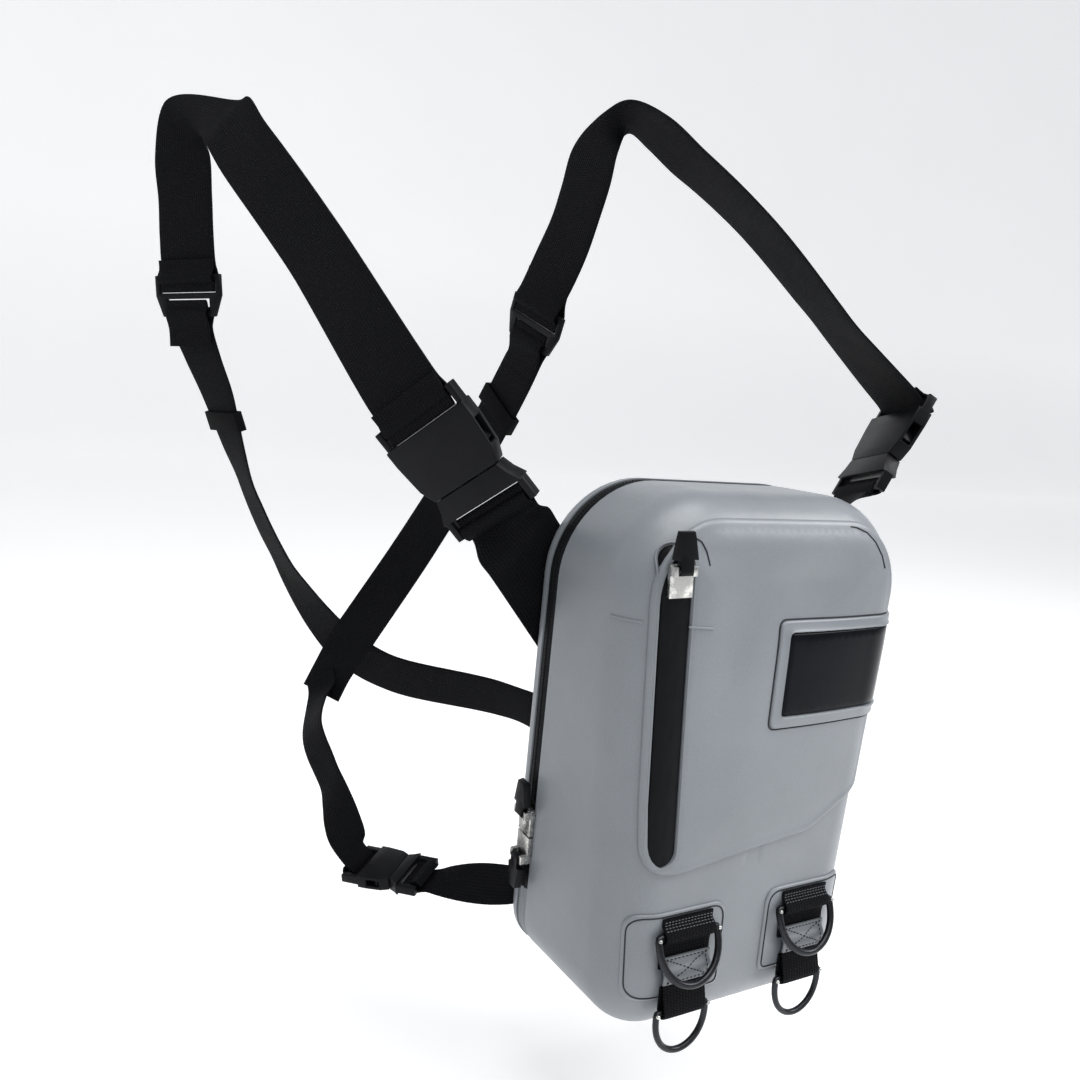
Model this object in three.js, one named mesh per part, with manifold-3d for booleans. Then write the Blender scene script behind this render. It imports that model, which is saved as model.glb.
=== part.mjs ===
import * as THREE from 'three';
import { mergeVertices } from 'three/addons/utils/BufferGeometryUtils.js';
import Module from 'manifold-3d';

const wasm = await Module();
wasm.setup();

// Driving dimensions in millimetres. X is across the bag, -Y is its front and Z is up.

// Bag body
const BAG_HEIGHT = 300;
const BAG_TOP_WIDTH = 204;
const BAG_BOTTOM_WIDTH = 165;
const BAG_TOP_DEPTH = 88;
const BAG_BOTTOM_DEPTH = 120;
const TOP_CORNER_RADIUS = 53;
const BOTTOM_CORNER_RADIUS = 34;
const FRONT_FILLET = 29;
const BACK_FILLET = 9;
const SHELL_WALL = 2;
const FACE_CROWN = 3;
const SEAT_GAP = 0.3;

// Main zip round the sides and the top
const ZIP_FROM_BACK = 11;
const ZIP_BAND_WIDTH = 10;
const ZIP_BAND_WALL = 2.4;
const ZIP_BAND_SINK = 0.6;
const MAIN_ZIP_END_HEIGHT = 48;

// Front pocket with its own zip
const POCKET_INSET = 12;
const POCKET_LEFT_BOTTOM = 95;
const POCKET_RIGHT_BOTTOM = 110;
const POCKET_CHAMFER_TOP = 131;
const POCKET_CHAMFER_FROM_EDGE = 52;
const POCKET_CORNER = 26;
const POCKET_WALL = 1.5;
const FRONT_ZIP_WIDTH = 16;
const FRONT_ZIP_WALL = 1.2;
const FRONT_ZIP_FROM_EDGE = 24.5;
const FRONT_ZIP_BOTTOM = 104;
const FRONT_ZIP_FROM_TOP = 26;

// Window on the front
const WINDOW_LEFT = -5;
const WINDOW_FROM_TOP = 65;
const WINDOW_HEIGHT = 60;
const WINDOW_BORDER = 6.5;
const WINDOW_CORNER = 4;
const WINDOW_FRAME_WALL = 2.2;
const WINDOW_WALL = 1.4;
const WINDOW_WRAP = 37;

// Patches with the two rings each
const PATCH_INNER_EDGE = 15;
const PATCH_OUTER_EDGE = 76;
const PATCH_BOTTOM = 27;
const PATCH_HEIGHT = 50;
const PATCH_WALL = 1.2;
const PATCH_CORNER = 9;
const RING_TAB_X = 43;
const UPPER_RING_HEIGHT = 65;
const LOWER_RING_HEIGHT = 22;
const UPPER_WEBBING_WIDTH = 34;
const LOWER_WEBBING_WIDTH = 28;
const RING_WEBBING_WALL = 1.6;
const UPPER_RING_WIRE = 4;
const LOWER_RING_WIRE = 3.6;
const UPPER_RING_DROP = 27;
const LOWER_RING_DROP = 24;
const RING_SIDE_CLEARANCE = 1;
const UPPER_RING_TILT = 21;
const LOWER_RING_TILT = 2;
const TAB_HEIGHT = 15;
const TAB_WALL = 1.5;

// Zip sliders and pulls
const SLIDER_WIDTH = 13;
const SLIDER_LENGTH = 17;
const SLIDER_WALL = 3;
const SLIDER_POST_WIDTH = 2.4;
const SLIDER_PIN_RADIUS = 1.1;
const SLIDER_PIN_HEIGHT = 6;
const PULL_LENGTH = 20;
const PULL_WIDE = 14;
const PULL_NARROW = 10;
const PULL_WALL = 4;
const PULL_PLATE_WALL = 1.8;
const PULL_STANDOFF = 6;
const PIN_CLEARANCE = 0.3;
const UPPER_MAIN_SLIDER_HEIGHT = 94;
const LOWER_MAIN_SLIDER_HEIGHT = 76;

// Harness webbing
const SHOULDER_WIDTH = 50;
const BACK_STRAP_WIDTH = 38;
const LOWER_STRAP_WIDTH = 25;
const WEBBING_WALL = 1.8;
const BAR_RADIUS = 2.2;
const BAR_CLEARANCE = 0.35;
const FOLD_LENGTH = 22;
const SHORT_FOLD = 12;
const TUCKED_END = 5;
const FOLD_LEAD = 8;
const ANCHOR_LENGTH = 80;
const LOWER_ANCHOR_LENGTH = 30;
const SEWN_OVERLAP = 10;
const STRAP_SPACING = 22;
const ANCHOR_SPACING = 9;
const TURN_COLUMNS = 2;
const TWIST_COLUMNS = 4;

// Where the wearer's shoulders hold the harness, seen from the bag's bottom centre
const HARNESS_SPAN = 278;
const HARNESS_DEPTH = 240;
const HARNESS_DROP = 511;
const BAG_RIGHT_OF_SHOULDERS = 151;
const BAG_AHEAD_OF_SHOULDERS = 232;

// Buckles and adjusters
const BUCKLE_WALL = 11;
const SMALL_BUCKLE_WALL = 8.5;
const BUCKLE_ARM = 4;
const BUCKLE_SKIN = 2;
const ADJUSTER_WALL = 3.2;
const ADJUSTER_BAR = 4;
const ADJUSTER_SLOT = 8;
const KEEPER_LENGTH = 14;
const KEEPER_WALL = 1.4;
const KEEPER_ROOM = 0.9;

const CORNER_STEPS = 6;
const BAR_SIDES = 8;

// Finishes
const material = (color, roughness, metalness = 0) => (
  new THREE.MeshStandardMaterial({ color, roughness, metalness })
);
const coatedFabric = material(0x8b9298, 0.42);
const coatedFabricDark = material(0x7d848a, 0.45);
const zipRubber = material(0x0d0e10, 0.5);
const windowSheet = material(0x08090b, 0.35);
const webbing = material(0x0a0a0c, 0.9);
const nylon = material(0x0c0c0e, 0.45);
const gunmetal = material(0x1b1c1f, 0.3, 0.9);
const sliderMetal = material(0x8d8d8c, 0.25, 1.0);

const bag = new THREE.Group();
bag.position.set(BAG_RIGHT_OF_SHOULDERS, -BAG_AHEAD_OF_SHOULDERS, -HARNESS_DROP);
const harness = new THREE.Group();
const part = new THREE.Group();
part.add(bag, harness);

const vec = (x, y, z) => new THREE.Vector3(x, y, z);
const rad = THREE.MathUtils.degToRad;
const mix = THREE.MathUtils.lerp;

function place(parent, name, geometry, finish) {
  const mesh = new THREE.Mesh(geometry, finish);
  mesh.name = name;
  parent.add(mesh);
  return mesh;
}

// A geometry from a list of points and a list of triangles, turned so that its faces point out
function closedGeometry(points, triangles) {
  let volume = 0;
  for (const [a, b, c] of triangles) {
    volume += points[a].dot(vec(0, 0, 0).crossVectors(points[b], points[c]));
  }
  const geometry = new THREE.BufferGeometry();
  geometry.setAttribute('position', new THREE.Float32BufferAttribute(points.flatMap((p) => p.toArray()), 3));
  geometry.setIndex(triangles.flatMap(([a, b, c]) => (volume > 0 ? [a, b, c] : [a, c, b])));
  geometry.computeVertexNormals();
  return geometry;
}

// A closed body through rings of equally many points, with a cap fanned from the middle of each end.
// A four-sided facet is cut along its other diagonal where isTurned(ring, point) says so.
function loft(rings, isTurned = () => false) {
  const count = rings[0].length;
  const triangles = [];
  rings.slice(1).forEach((ring, k) => {
    ring.forEach((point, i) => {
      const [a, b] = [k * count + i, k * count + ((i + 1) % count)];
      if (isTurned(k, i)) triangles.push([a, b, a + count], [b, b + count, a + count]);
      else triangles.push([a, b, b + count], [a, b + count, a + count]);
    });
  });
  const last = (rings.length - 1) * count;
  const middles = [rings[0], rings[rings.length - 1]].map(
    (ring) => ring.reduce((sum, p) => sum.add(p), vec(0, 0, 0)).divideScalar(count),
  );
  const middle = rings.length * count;
  for (let i = 0; i < count; i += 1) {
    const j = (i + 1) % count;
    triangles.push([middle, j, i], [middle + 1, last + i, last + j]);
  }
  return closedGeometry([...rings.flat(), ...middles], triangles);
}

// A hollow skin between two sets of rings, each from the rim to the middle, with like facets on both
const skin = (outer, inner) => (
  loft([...outer.slice().reverse(), ...inner], (ring) => ring < outer.length - 1)
);

// A closed loop of rings, such as wire bent back to its own start
function loopLoft(rings) {
  const count = rings[0].length;
  const triangles = [];
  rings.forEach((ring, k) => {
    const next = ((k + 1) % rings.length) * count;
    ring.forEach((point, i) => {
      const j = (i + 1) % count;
      triangles.push([k * count + i, k * count + j, next + j], [k * count + i, next + j, next + i]);
    });
  });
  return closedGeometry(rings.flat(), triangles);
}

function toSolid(geometry) {
  const bare = geometry.clone();
  bare.deleteAttribute('normal');
  if (bare.hasAttribute('uv')) bare.deleteAttribute('uv');
  const merged = mergeVertices(bare, 1e-4);
  const vertProperties = new Float32Array(merged.attributes.position.array);
  const triVerts = new Uint32Array(merged.index.array);
  return new wasm.Manifold(new wasm.Mesh({ numProp: 3, vertProperties, triVerts }));
}

function toGeometry(solid) {
  const mesh = solid.getMesh();
  const geometry = new THREE.BufferGeometry();
  geometry.setAttribute('position', new THREE.BufferAttribute(new Float32Array(mesh.vertProperties), 3));
  geometry.setIndex(new THREE.BufferAttribute(new Uint32Array(mesh.triVerts), 1));
  geometry.computeVertexNormals();
  return geometry;
}

// Shape of the bag seen from the front: a trapezoid, wider at the top, with round corners
const halfWidthAt = (z) => mix(BAG_BOTTOM_WIDTH, BAG_TOP_WIDTH, z / BAG_HEIGHT) / 2;
const depthAt = (z) => mix(BAG_BOTTOM_DEPTH, BAG_TOP_DEPTH, z / BAG_HEIGHT);
const EDGE_LEAN = Math.atan2(BAG_TOP_WIDTH - BAG_BOTTOM_WIDTH, 2 * BAG_HEIGHT);
const BACK_LEAN = Math.atan2(BAG_BOTTOM_DEPTH - BAG_TOP_DEPTH, BAG_HEIGHT);

// Each side: the direction it faces, and how many stretches its straight part is cut into
const SIDES = [
  { facing: -Math.PI / 2, stretches: 4 },
  { facing: -EDGE_LEAN, stretches: 6 },
  { facing: Math.PI / 2, stretches: 4 },
  { facing: Math.PI + EDGE_LEAN, stretches: 6 },
];
const CORNERS = [
  { x: 0.5, top: false },
  { x: 0.5, top: true },
  { x: -0.5, top: true },
  { x: -0.5, top: false },
];

function outline(inset) {
  const arcs = CORNERS.map(({ x, top }, i) => {
    const from = SIDES[i].facing;
    const to = SIDES[(i + 1) % 4].facing + (i === 3 ? 2 * Math.PI : 0);
    const radius = top ? TOP_CORNER_RADIUS : BOTTOM_CORNER_RADIUS;
    const corner = [x * (top ? BAG_TOP_WIDTH : BAG_BOTTOM_WIDTH), top ? BAG_HEIGHT : 0];
    const pull = radius / (1 + Math.cos(to - from));
    const centre = [
      corner[0] - pull * (Math.cos(from) + Math.cos(to)),
      corner[1] - pull * (Math.sin(from) + Math.sin(to)),
    ];
    return Array.from({ length: CORNER_STEPS + 1 }, (_, k) => {
      const angle = mix(from, to, k / CORNER_STEPS);
      const out = [Math.cos(angle), Math.sin(angle)];
      return { x: centre[0] + (radius - inset) * out[0], z: centre[1] + (radius - inset) * out[1], out };
    });
  });
  return arcs.flatMap((arc, i) => {
    const start = arc[CORNER_STEPS];
    const end = arcs[(i + 1) % 4][0];
    const { stretches } = SIDES[(i + 1) % 4];
    const straight = Array.from({ length: stretches - 1 }, (_, k) => ({
      x: mix(start.x, end.x, (k + 1) / stretches),
      z: mix(start.z, end.z, (k + 1) / stretches),
      out: start.out,
    }));
    return [...arc, ...straight];
  });
}

// Soft forms of the front: shares of the bag's width and height, the rise as a share of the crown
const SOFT_FORMS = [
  { across: -0.3, up: 0.84, spreadAcross: 0.13, spreadUp: 0.1, rise: 0.55 },
  { across: 0.06, up: 0.85, spreadAcross: 0.15, spreadUp: 0.06, rise: -1.0 },
  { across: -0.17, up: 0.72, spreadAcross: 0.07, spreadUp: 0.12, rise: -0.5 },
];
const CROWN_RUN = 0.27 * BAG_TOP_WIDTH;
const CROWN_BOTTOM = PATCH_BOTTOM + PATCH_HEIGHT + 14;

// How far the front bulges forward of its flat plane
function faceRise(x, z) {
  const beside = halfWidthAt(z) - FRONT_FILLET - Math.abs(x);
  const room = Math.min(beside, z - CROWN_BOTTOM, BAG_HEIGHT - FRONT_FILLET - z);
  const share = THREE.MathUtils.clamp(room / CROWN_RUN, 0, 1);
  const fade = THREE.MathUtils.clamp((2 * room) / FRONT_FILLET, 0, 1);
  const soft = SOFT_FORMS.reduce((sum, form) => {
    const u = (x / BAG_TOP_WIDTH - form.across) / form.spreadAcross;
    const v = (z / BAG_HEIGHT - form.up) / form.spreadUp;
    return sum + form.rise * Math.exp(-u * u - v * v);
  }, 0);
  return FACE_CROWN * (share * (2 - share) + soft * fade);
}

// Depth of the front skin behind the front plane at a point beside a straight side
function skinDepth(x, z) {
  const inset = halfWidthAt(z) - Math.abs(x);
  const run = Math.max(FRONT_FILLET - inset, 0);
  return FRONT_FILLET - Math.sqrt(FRONT_FILLET ** 2 - run ** 2) - faceRise(x, z);
}

// Rows of the front skin from its rim to its centre, as shares of the side, the fillet and the face
const SIDE_SHARES = [1, 0.5];
const FILLET_SHARES = [0, 0.2, 0.4, 0.6, 0.8, 1];
const FACE_SHARES = [0.17, 0.36, 0.58, 0.8];

function frontRings(lift, rimFromBack = ZIP_FROM_BACK + ZIP_BAND_WIDTH + SEAT_GAP) {
  const edge = outline(0);
  const face = outline(FRONT_FILLET);
  const sides = SIDE_SHARES.map((share) => edge.map(({ x, z, out }) => {
    const y = mix(FRONT_FILLET, depthAt(z) - rimFromBack, share);
    return vec(x + out[0] * lift, y, z + out[1] * lift);
  }));
  const fillets = FILLET_SHARES.map((share) => {
    const angle = share * Math.PI / 2;
    const reach = FRONT_FILLET + lift;
    return face.map(({ x, z, out }) => vec(
      x + out[0] * reach * Math.cos(angle),
      FRONT_FILLET - reach * Math.sin(angle),
      z + out[1] * reach * Math.cos(angle),
    ));
  });
  const middle = BAG_TOP_WIDTH / 2;
  const faces = FACE_SHARES.map((share) => face.map(({ x, z }) => {
    const centreZ = THREE.MathUtils.clamp(z, middle, BAG_HEIGHT - middle);
    const [px, pz] = [mix(x, 0, share), mix(z, centreZ, share)];
    return vec(px, -faceRise(px, pz) - lift, pz);
  }));
  return [...sides, ...fillets, ...faces];
}

// A layer of even thickness that follows the front skin at a given height above it
const frontLayer = (bottom, wall) => toSolid(skin(
  frontRings(bottom + wall, 0.5 * BAG_TOP_DEPTH),
  frontRings(bottom, 0.5 * BAG_TOP_DEPTH),
));

// A straight block along Y with the given outline in X and Z
function block(points, front, back) {
  const shape = new THREE.Shape(points.map(([x, z]) => new THREE.Vector2(x, z)));
  const geometry = new THREE.ExtrudeGeometry(shape, { depth: back - front, bevelEnabled: false });
  geometry.rotateX(Math.PI / 2);
  geometry.translate(0, back, 0);
  return toSolid(geometry);
}

// A polygon whose corners are rounded, as points in X and Z
function roundedPolygon(corners, steps = 4) {
  return corners.flatMap(([x, z, radius], i) => {
    const [px, pz] = corners[(i + corners.length - 1) % corners.length];
    const [nx, nz] = corners[(i + 1) % corners.length];
    const before = vec(px - x, 0, pz - z).normalize();
    const after = vec(nx - x, 0, nz - z).normalize();
    if (!radius) return [[x, z]];
    const start = before.multiplyScalar(radius);
    const end = after.multiplyScalar(radius);
    return Array.from({ length: steps + 1 }, (_, k) => {
      const t = k / steps;
      return [
        x + (1 - t) ** 2 * start.x + t ** 2 * end.x,
        z + (1 - t) ** 2 * start.z + t ** 2 * end.z,
      ];
    });
  });
}

// Front shell, back shell and what closes the seam between them
const frontShell = () => skin(frontRings(0), frontRings(-SHELL_WALL));

function backRings(lift) {
  const edge = outline(0);
  const round = outline(BACK_FILLET);
  const rim = edge.map(({ x, z, out }) => {
    const y = depthAt(z) - ZIP_FROM_BACK + SEAT_GAP;
    return vec(x + out[0] * lift, y, z + out[1] * lift);
  });
  const fillets = [0, 0.33, 0.67, 1].map((share) => {
    const angle = share * Math.PI / 2;
    const reach = BACK_FILLET + lift;
    return round.map(({ x, z, out }) => vec(
      x + out[0] * reach * Math.cos(angle),
      depthAt(z) - BACK_FILLET + reach * Math.sin(angle),
      z + out[1] * reach * Math.cos(angle),
    ));
  });
  return [rim, ...fillets];
}

const backShell = () => skin(backRings(0), backRings(-SHELL_WALL));

// The stretch of the outline above or below the zip's ends, as points on its path
function seamPath(inset, above, endHeight) {
  const side = (sign) => ({
    x: sign * (halfWidthAt(endHeight) - inset / Math.cos(EDGE_LEAN)),
    z: endHeight,
  });
  const points = outline(inset);
  const turned = above ? points : [...points.slice(-10), ...points.slice(0, -10)];
  const kept = turned.filter(({ z }) => (above ? z > endHeight + 2 : z < endHeight - 2));
  return above ? [side(1), ...kept, side(-1)] : [side(-1), ...kept, side(1)];
}

function seamBand(above, endHeight, outerInset) {
  const outer = seamPath(outerInset, above, endHeight);
  const inner = seamPath(outerInset + ZIP_BAND_WALL, above, endHeight);
  const front = (z) => depthAt(z) - ZIP_FROM_BACK - ZIP_BAND_WIDTH;
  const back = (z) => depthAt(z) - ZIP_FROM_BACK;
  return loft(outer.map((o, i) => {
    const n = inner[i];
    return [
      vec(o.x, front(o.z), o.z), vec(o.x, back(o.z), o.z),
      vec(n.x, back(n.z), n.z), vec(n.x, front(n.z), n.z),
    ];
  }));
}

// Front pocket: top and sides follow the bag's outline, and its lower edge rises to a chamfer
const leftEdgeX = (z) => -halfWidthAt(z);
const zipCentreX = (z) => leftEdgeX(z) + FRONT_ZIP_FROM_EDGE;
const FRONT_ZIP_TOP = BAG_HEIGHT - FRONT_ZIP_FROM_TOP;

function zipOutline(margin) {
  const radius = FRONT_ZIP_WIDTH / 2 + margin;
  const low = FRONT_ZIP_BOTTOM + FRONT_ZIP_WIDTH / 2;
  const high = FRONT_ZIP_TOP - FRONT_ZIP_WIDTH / 2;
  const arc = (z, turn) => Array.from({ length: 7 }, (_, k) => {
    const angle = turn + Math.PI * k / 6 + EDGE_LEAN;
    return [zipCentreX(z) + radius * Math.cos(angle), z + radius * Math.sin(angle)];
  });
  return [...arc(low, Math.PI), ...arc(high, 0)];
}

function pocketOutline() {
  const inner = outline(POCKET_INSET);
  const over = inner.filter(({ z }) => z > POCKET_CHAMFER_TOP + 4).map(({ x, z }) => [x, z]);
  const right = (z) => halfWidthAt(z) - POCKET_INSET;
  return [
    ...roundedPolygon([
      [-right(POCKET_LEFT_BOTTOM), POCKET_LEFT_BOTTOM, POCKET_CORNER],
    ].concat([
      [right(POCKET_RIGHT_BOTTOM) - POCKET_CHAMFER_FROM_EDGE + POCKET_INSET, POCKET_RIGHT_BOTTOM, 0],
      [right(POCKET_CHAMFER_TOP), POCKET_CHAMFER_TOP, 0],
      [-right(POCKET_CHAMFER_TOP), POCKET_CHAMFER_TOP + POCKET_CORNER, 0],
    ])).slice(0, -1),
    ...over,
  ];
}

function frontPocket() {
  const panel = frontLayer(SEAT_GAP, POCKET_WALL).intersect(block(pocketOutline(), -40, FRONT_FILLET));
  return toGeometry(panel.subtract(block(zipOutline(SEAT_GAP), -40, FRONT_FILLET)));
}

const frontZip = () => toGeometry(
  frontLayer(SEAT_GAP, FRONT_ZIP_WALL).intersect(block(zipOutline(0), -40, FRONT_FILLET)),
);

// Window: a raised frame and a dark sheet, both wrapped round the right front edge
const WINDOW_TOP = BAG_HEIGHT - WINDOW_FROM_TOP;
const WINDOW_LIFT = SEAT_GAP + POCKET_WALL + SEAT_GAP;

function windowOutline(margin, corner) {
  const left = WINDOW_LEFT + margin;
  const bottom = WINDOW_TOP - WINDOW_HEIGHT + margin;
  const right = BAG_TOP_WIDTH;
  return roundedPolygon([
    [left, bottom, corner],
    [right, bottom, 0],
    [right, WINDOW_TOP - margin, 0],
    [left, WINDOW_TOP - margin, corner],
  ]);
}

function windowFrame() {
  const whole = frontLayer(WINDOW_LIFT, WINDOW_FRAME_WALL)
    .intersect(block(windowOutline(0, WINDOW_CORNER), -40, WINDOW_WRAP));
  return toGeometry(whole.subtract(
    block(windowOutline(WINDOW_BORDER, WINDOW_CORNER / 2), -40, WINDOW_WRAP - WINDOW_BORDER),
  ));
}

const windowPane = () => toGeometry(frontLayer(WINDOW_LIFT, WINDOW_WALL).intersect(
  block(
    windowOutline(WINDOW_BORDER + SEAT_GAP, WINDOW_CORNER / 2),
    -40, WINDOW_WRAP - WINDOW_BORDER - SEAT_GAP,
  ),
));

// Patches low on the front, one at each side
function patch(side) {
  const top = PATCH_BOTTOM + PATCH_HEIGHT;
  const lean = PATCH_HEIGHT * Math.tan(EDGE_LEAN);
  const corners = [
    [side * PATCH_INNER_EDGE, PATCH_BOTTOM, PATCH_CORNER * 0.4],
    [side * PATCH_OUTER_EDGE, PATCH_BOTTOM, PATCH_CORNER],
    [side * (PATCH_OUTER_EDGE + lean), top, PATCH_CORNER],
    [side * PATCH_INNER_EDGE, top, PATCH_CORNER],
  ];
  const ordered = side > 0 ? corners : corners.reverse();
  const plan = block(roundedPolygon(ordered), -40, FRONT_FILLET);
  return toGeometry(frontLayer(SEAT_GAP, PATCH_WALL).intersect(plan));
}

// A strip of webbing through rows of places, each with the direction across its width.
// A row that lies on something names the line it runs along, so the strip stays flat there.
// A crease is a row that crosses the strip aslant, and it names its own width.
// Both faces are cut along like diagonals, so a twisted strip keeps its thickness.
function strip(rows, width, wall, columns = 1) {
  const shares = Array.from({ length: columns + 1 }, (_, i) => i / columns - 0.5);
  return loft(rows.map(({ at, across, line, crease }, k) => {
    const before = rows[Math.max(k - 1, 0)].at;
    const after = rows[Math.min(k + 1, rows.length - 1)].at;
    const path = after.clone().sub(before).normalize();
    const along = line ? line.clone().multiplyScalar(Math.sign(line.dot(path))) : path;
    const square = across.clone().addScaledVector(along, -across.dot(along)).normalize();
    const flat = crease ? across : square;
    const up = flat.clone().cross(along).normalize();
    const wide = crease ?? width;
    const edge = (share, rise) => (
      at.clone().addScaledVector(flat, share * wide).addScaledVector(up, rise * wall)
    );
    return [...shares.map((share) => edge(share, -0.5)), ...shares.map((share) => edge(-share, 0.5))];
  }), (ring, point) => point > columns);
}

// D-ring in its own frame: the straight bar along X through the origin, the bow hanging below it
function dRing(inside, drop, wire) {
  const half = (inside + wire) / 2;
  const bow = Array.from({ length: 11 }, (_, k) => {
    const angle = Math.PI * k / 10;
    return vec(half * Math.cos(angle), 0, -wire - (drop - wire) * Math.sin(angle) ** 0.9);
  });
  const path = [
    vec(-half + wire * 0.4, 0, 0), vec(half - wire * 0.4, 0, 0), vec(half, 0, -wire * 0.4), ...bow,
    vec(-half, 0, -wire * 0.4),
  ];
  return loopLoft(path.map((at, k) => {
    const before = path[(k + path.length - 1) % path.length];
    const after = path[(k + 1) % path.length];
    const along = after.clone().sub(before).normalize();
    const outward = vec(-along.z, 0, along.x);
    return Array.from({ length: BAR_SIDES }, (_, s) => {
      const angle = 2 * Math.PI * (s + 0.5) / BAR_SIDES;
      return at.clone()
        .addScaledVector(outward, wire / 2 * Math.cos(angle))
        .addScaledVector(vec(0, 1, 0), wire / 2 * Math.sin(angle));
    });
  }));
}

// Heights above the patch, out from the bag: the webbing layers and the two ring bars
const PATCH_TOP = SEAT_GAP + PATCH_WALL;
const LOW_LAYER = SEAT_GAP + RING_WEBBING_WALL / 2;
const HIGH_LAYER = LOW_LAYER + RING_WEBBING_WALL + SEAT_GAP;
const UPPER_BAR_LIFT = SEAT_GAP + UPPER_RING_WIRE / 2;
const UPPER_BEND = UPPER_RING_WIRE / 2 + BAR_CLEARANCE + RING_WEBBING_WALL / 2;
const LOWER_BEND = LOWER_RING_WIRE / 2 + BAR_CLEARANCE + RING_WEBBING_WALL / 2;
const LOWER_BAR_LIFT = LOW_LAYER + LOWER_BEND;
const TAB_TOP = UPPER_RING_HEIGHT - UPPER_RING_DROP + TAB_HEIGHT;

function ringSet(label, side) {
  const group = new THREE.Group();
  group.position.set(side * RING_TAB_X, -PATCH_TOP, 0);
  bag.add(group);
  const across = vec(1, 0, 0);
  const row = (height, lift) => ({ at: vec(0, -lift, height), across });
  const bend = [60, 30, 0, -30, -60].map((angle) => row(
    UPPER_RING_HEIGHT + UPPER_BEND * Math.sin(rad(angle)),
    UPPER_BAR_LIFT + UPPER_BEND * Math.cos(rad(angle)),
  ));
  const foot = UPPER_BEND + 2.2;
  place(group, `${label}_upper_webbing`, strip([
    row(UPPER_RING_HEIGHT + foot + 4, LOW_LAYER),
    row(UPPER_RING_HEIGHT + foot, LOW_LAYER),
    ...bend,
    row(UPPER_RING_HEIGHT - foot, LOW_LAYER),
    row(TAB_TOP - TAB_HEIGHT * 0.45, LOW_LAYER),
  ], UPPER_WEBBING_WIDTH, RING_WEBBING_WALL), webbing);
  const tabBottom = TAB_TOP - TAB_HEIGHT;
  const hairpin = [90, 45, 0, -45, -90].map((angle) => row(
    LOWER_RING_HEIGHT - LOWER_BEND * Math.cos(rad(angle)),
    LOWER_BAR_LIFT + LOWER_BEND * Math.sin(rad(angle)),
  ));
  place(group, `${label}_lower_webbing`, strip([
    row(tabBottom + TAB_HEIGHT * 0.45, HIGH_LAYER),
    row(tabBottom, HIGH_LAYER + SEAT_GAP),
    ...hairpin,
    row(tabBottom - 3, LOW_LAYER),
  ], LOWER_WEBBING_WIDTH, RING_WEBBING_WALL), webbing);
  const tabSeat = RING_WEBBING_WALL / 2 + SEAT_GAP + TAB_WALL / 2;
  place(group, `${label}_tab`, strip([
    row(TAB_TOP, LOW_LAYER + tabSeat),
    row(TAB_TOP - TAB_HEIGHT * 0.3, LOW_LAYER + tabSeat + 0.3),
    row(tabBottom + TAB_HEIGHT * 0.5, HIGH_LAYER + tabSeat + 0.4),
    row(tabBottom + 1, HIGH_LAYER + tabSeat + 0.4),
  ], UPPER_WEBBING_WIDTH - 2, TAB_WALL), coatedFabricDark);
  const upper = place(group, `${label}_upper_ring`, dRing(
    UPPER_WEBBING_WIDTH + 2 * RING_SIDE_CLEARANCE, UPPER_RING_DROP, UPPER_RING_WIRE,
  ), gunmetal);
  upper.position.set(0, -UPPER_BAR_LIFT, UPPER_RING_HEIGHT);
  upper.rotation.x = -rad(UPPER_RING_TILT);
  const lower = place(group, `${label}_lower_ring`, dRing(
    LOWER_WEBBING_WIDTH + 2 * RING_SIDE_CLEARANCE, LOWER_RING_DROP, LOWER_RING_WIRE,
  ), gunmetal);
  lower.position.set(0, -LOWER_BAR_LIFT, LOWER_RING_HEIGHT);
  lower.rotation.x = -rad(LOWER_RING_TILT);
}

// A box as a solid, from its size and its centre
function boxSolid(size, centre) {
  const geometry = new THREE.BoxGeometry(...size);
  geometry.translate(...centre);
  return toSolid(geometry);
}

// A round bar along X
function barSolid(length, radius, centre, sides = BAR_SIDES) {
  const geometry = new THREE.CylinderGeometry(radius, radius, length, sides);
  geometry.rotateZ(Math.PI / 2);
  geometry.translate(...centre);
  return toSolid(geometry);
}

// Zip slider in its own frame: X across the zip, Y towards its pull, Z out of the bag
const PIN_FROM_CENTRE = SLIDER_LENGTH / 2 - 3;

function slider() {
  const body = boxSolid([SLIDER_WIDTH, SLIDER_LENGTH, SLIDER_WALL], [0, 0, SLIDER_WALL / 2]);
  const post = (side) => boxSolid(
    [SLIDER_POST_WIDTH, 5, SLIDER_PIN_HEIGHT],
    [
      side * (SLIDER_WIDTH - SLIDER_POST_WIDTH) / 2,
      PIN_FROM_CENTRE,
      SLIDER_PIN_HEIGHT / 2 + SLIDER_PIN_RADIUS,
    ],
  );
  const pin = barSolid(SLIDER_WIDTH - 1, SLIDER_PIN_RADIUS, [0, PIN_FROM_CENTRE, SLIDER_PIN_HEIGHT]);
  return toGeometry(body.add(post(-1)).add(post(1)).add(pin));
}

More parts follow.
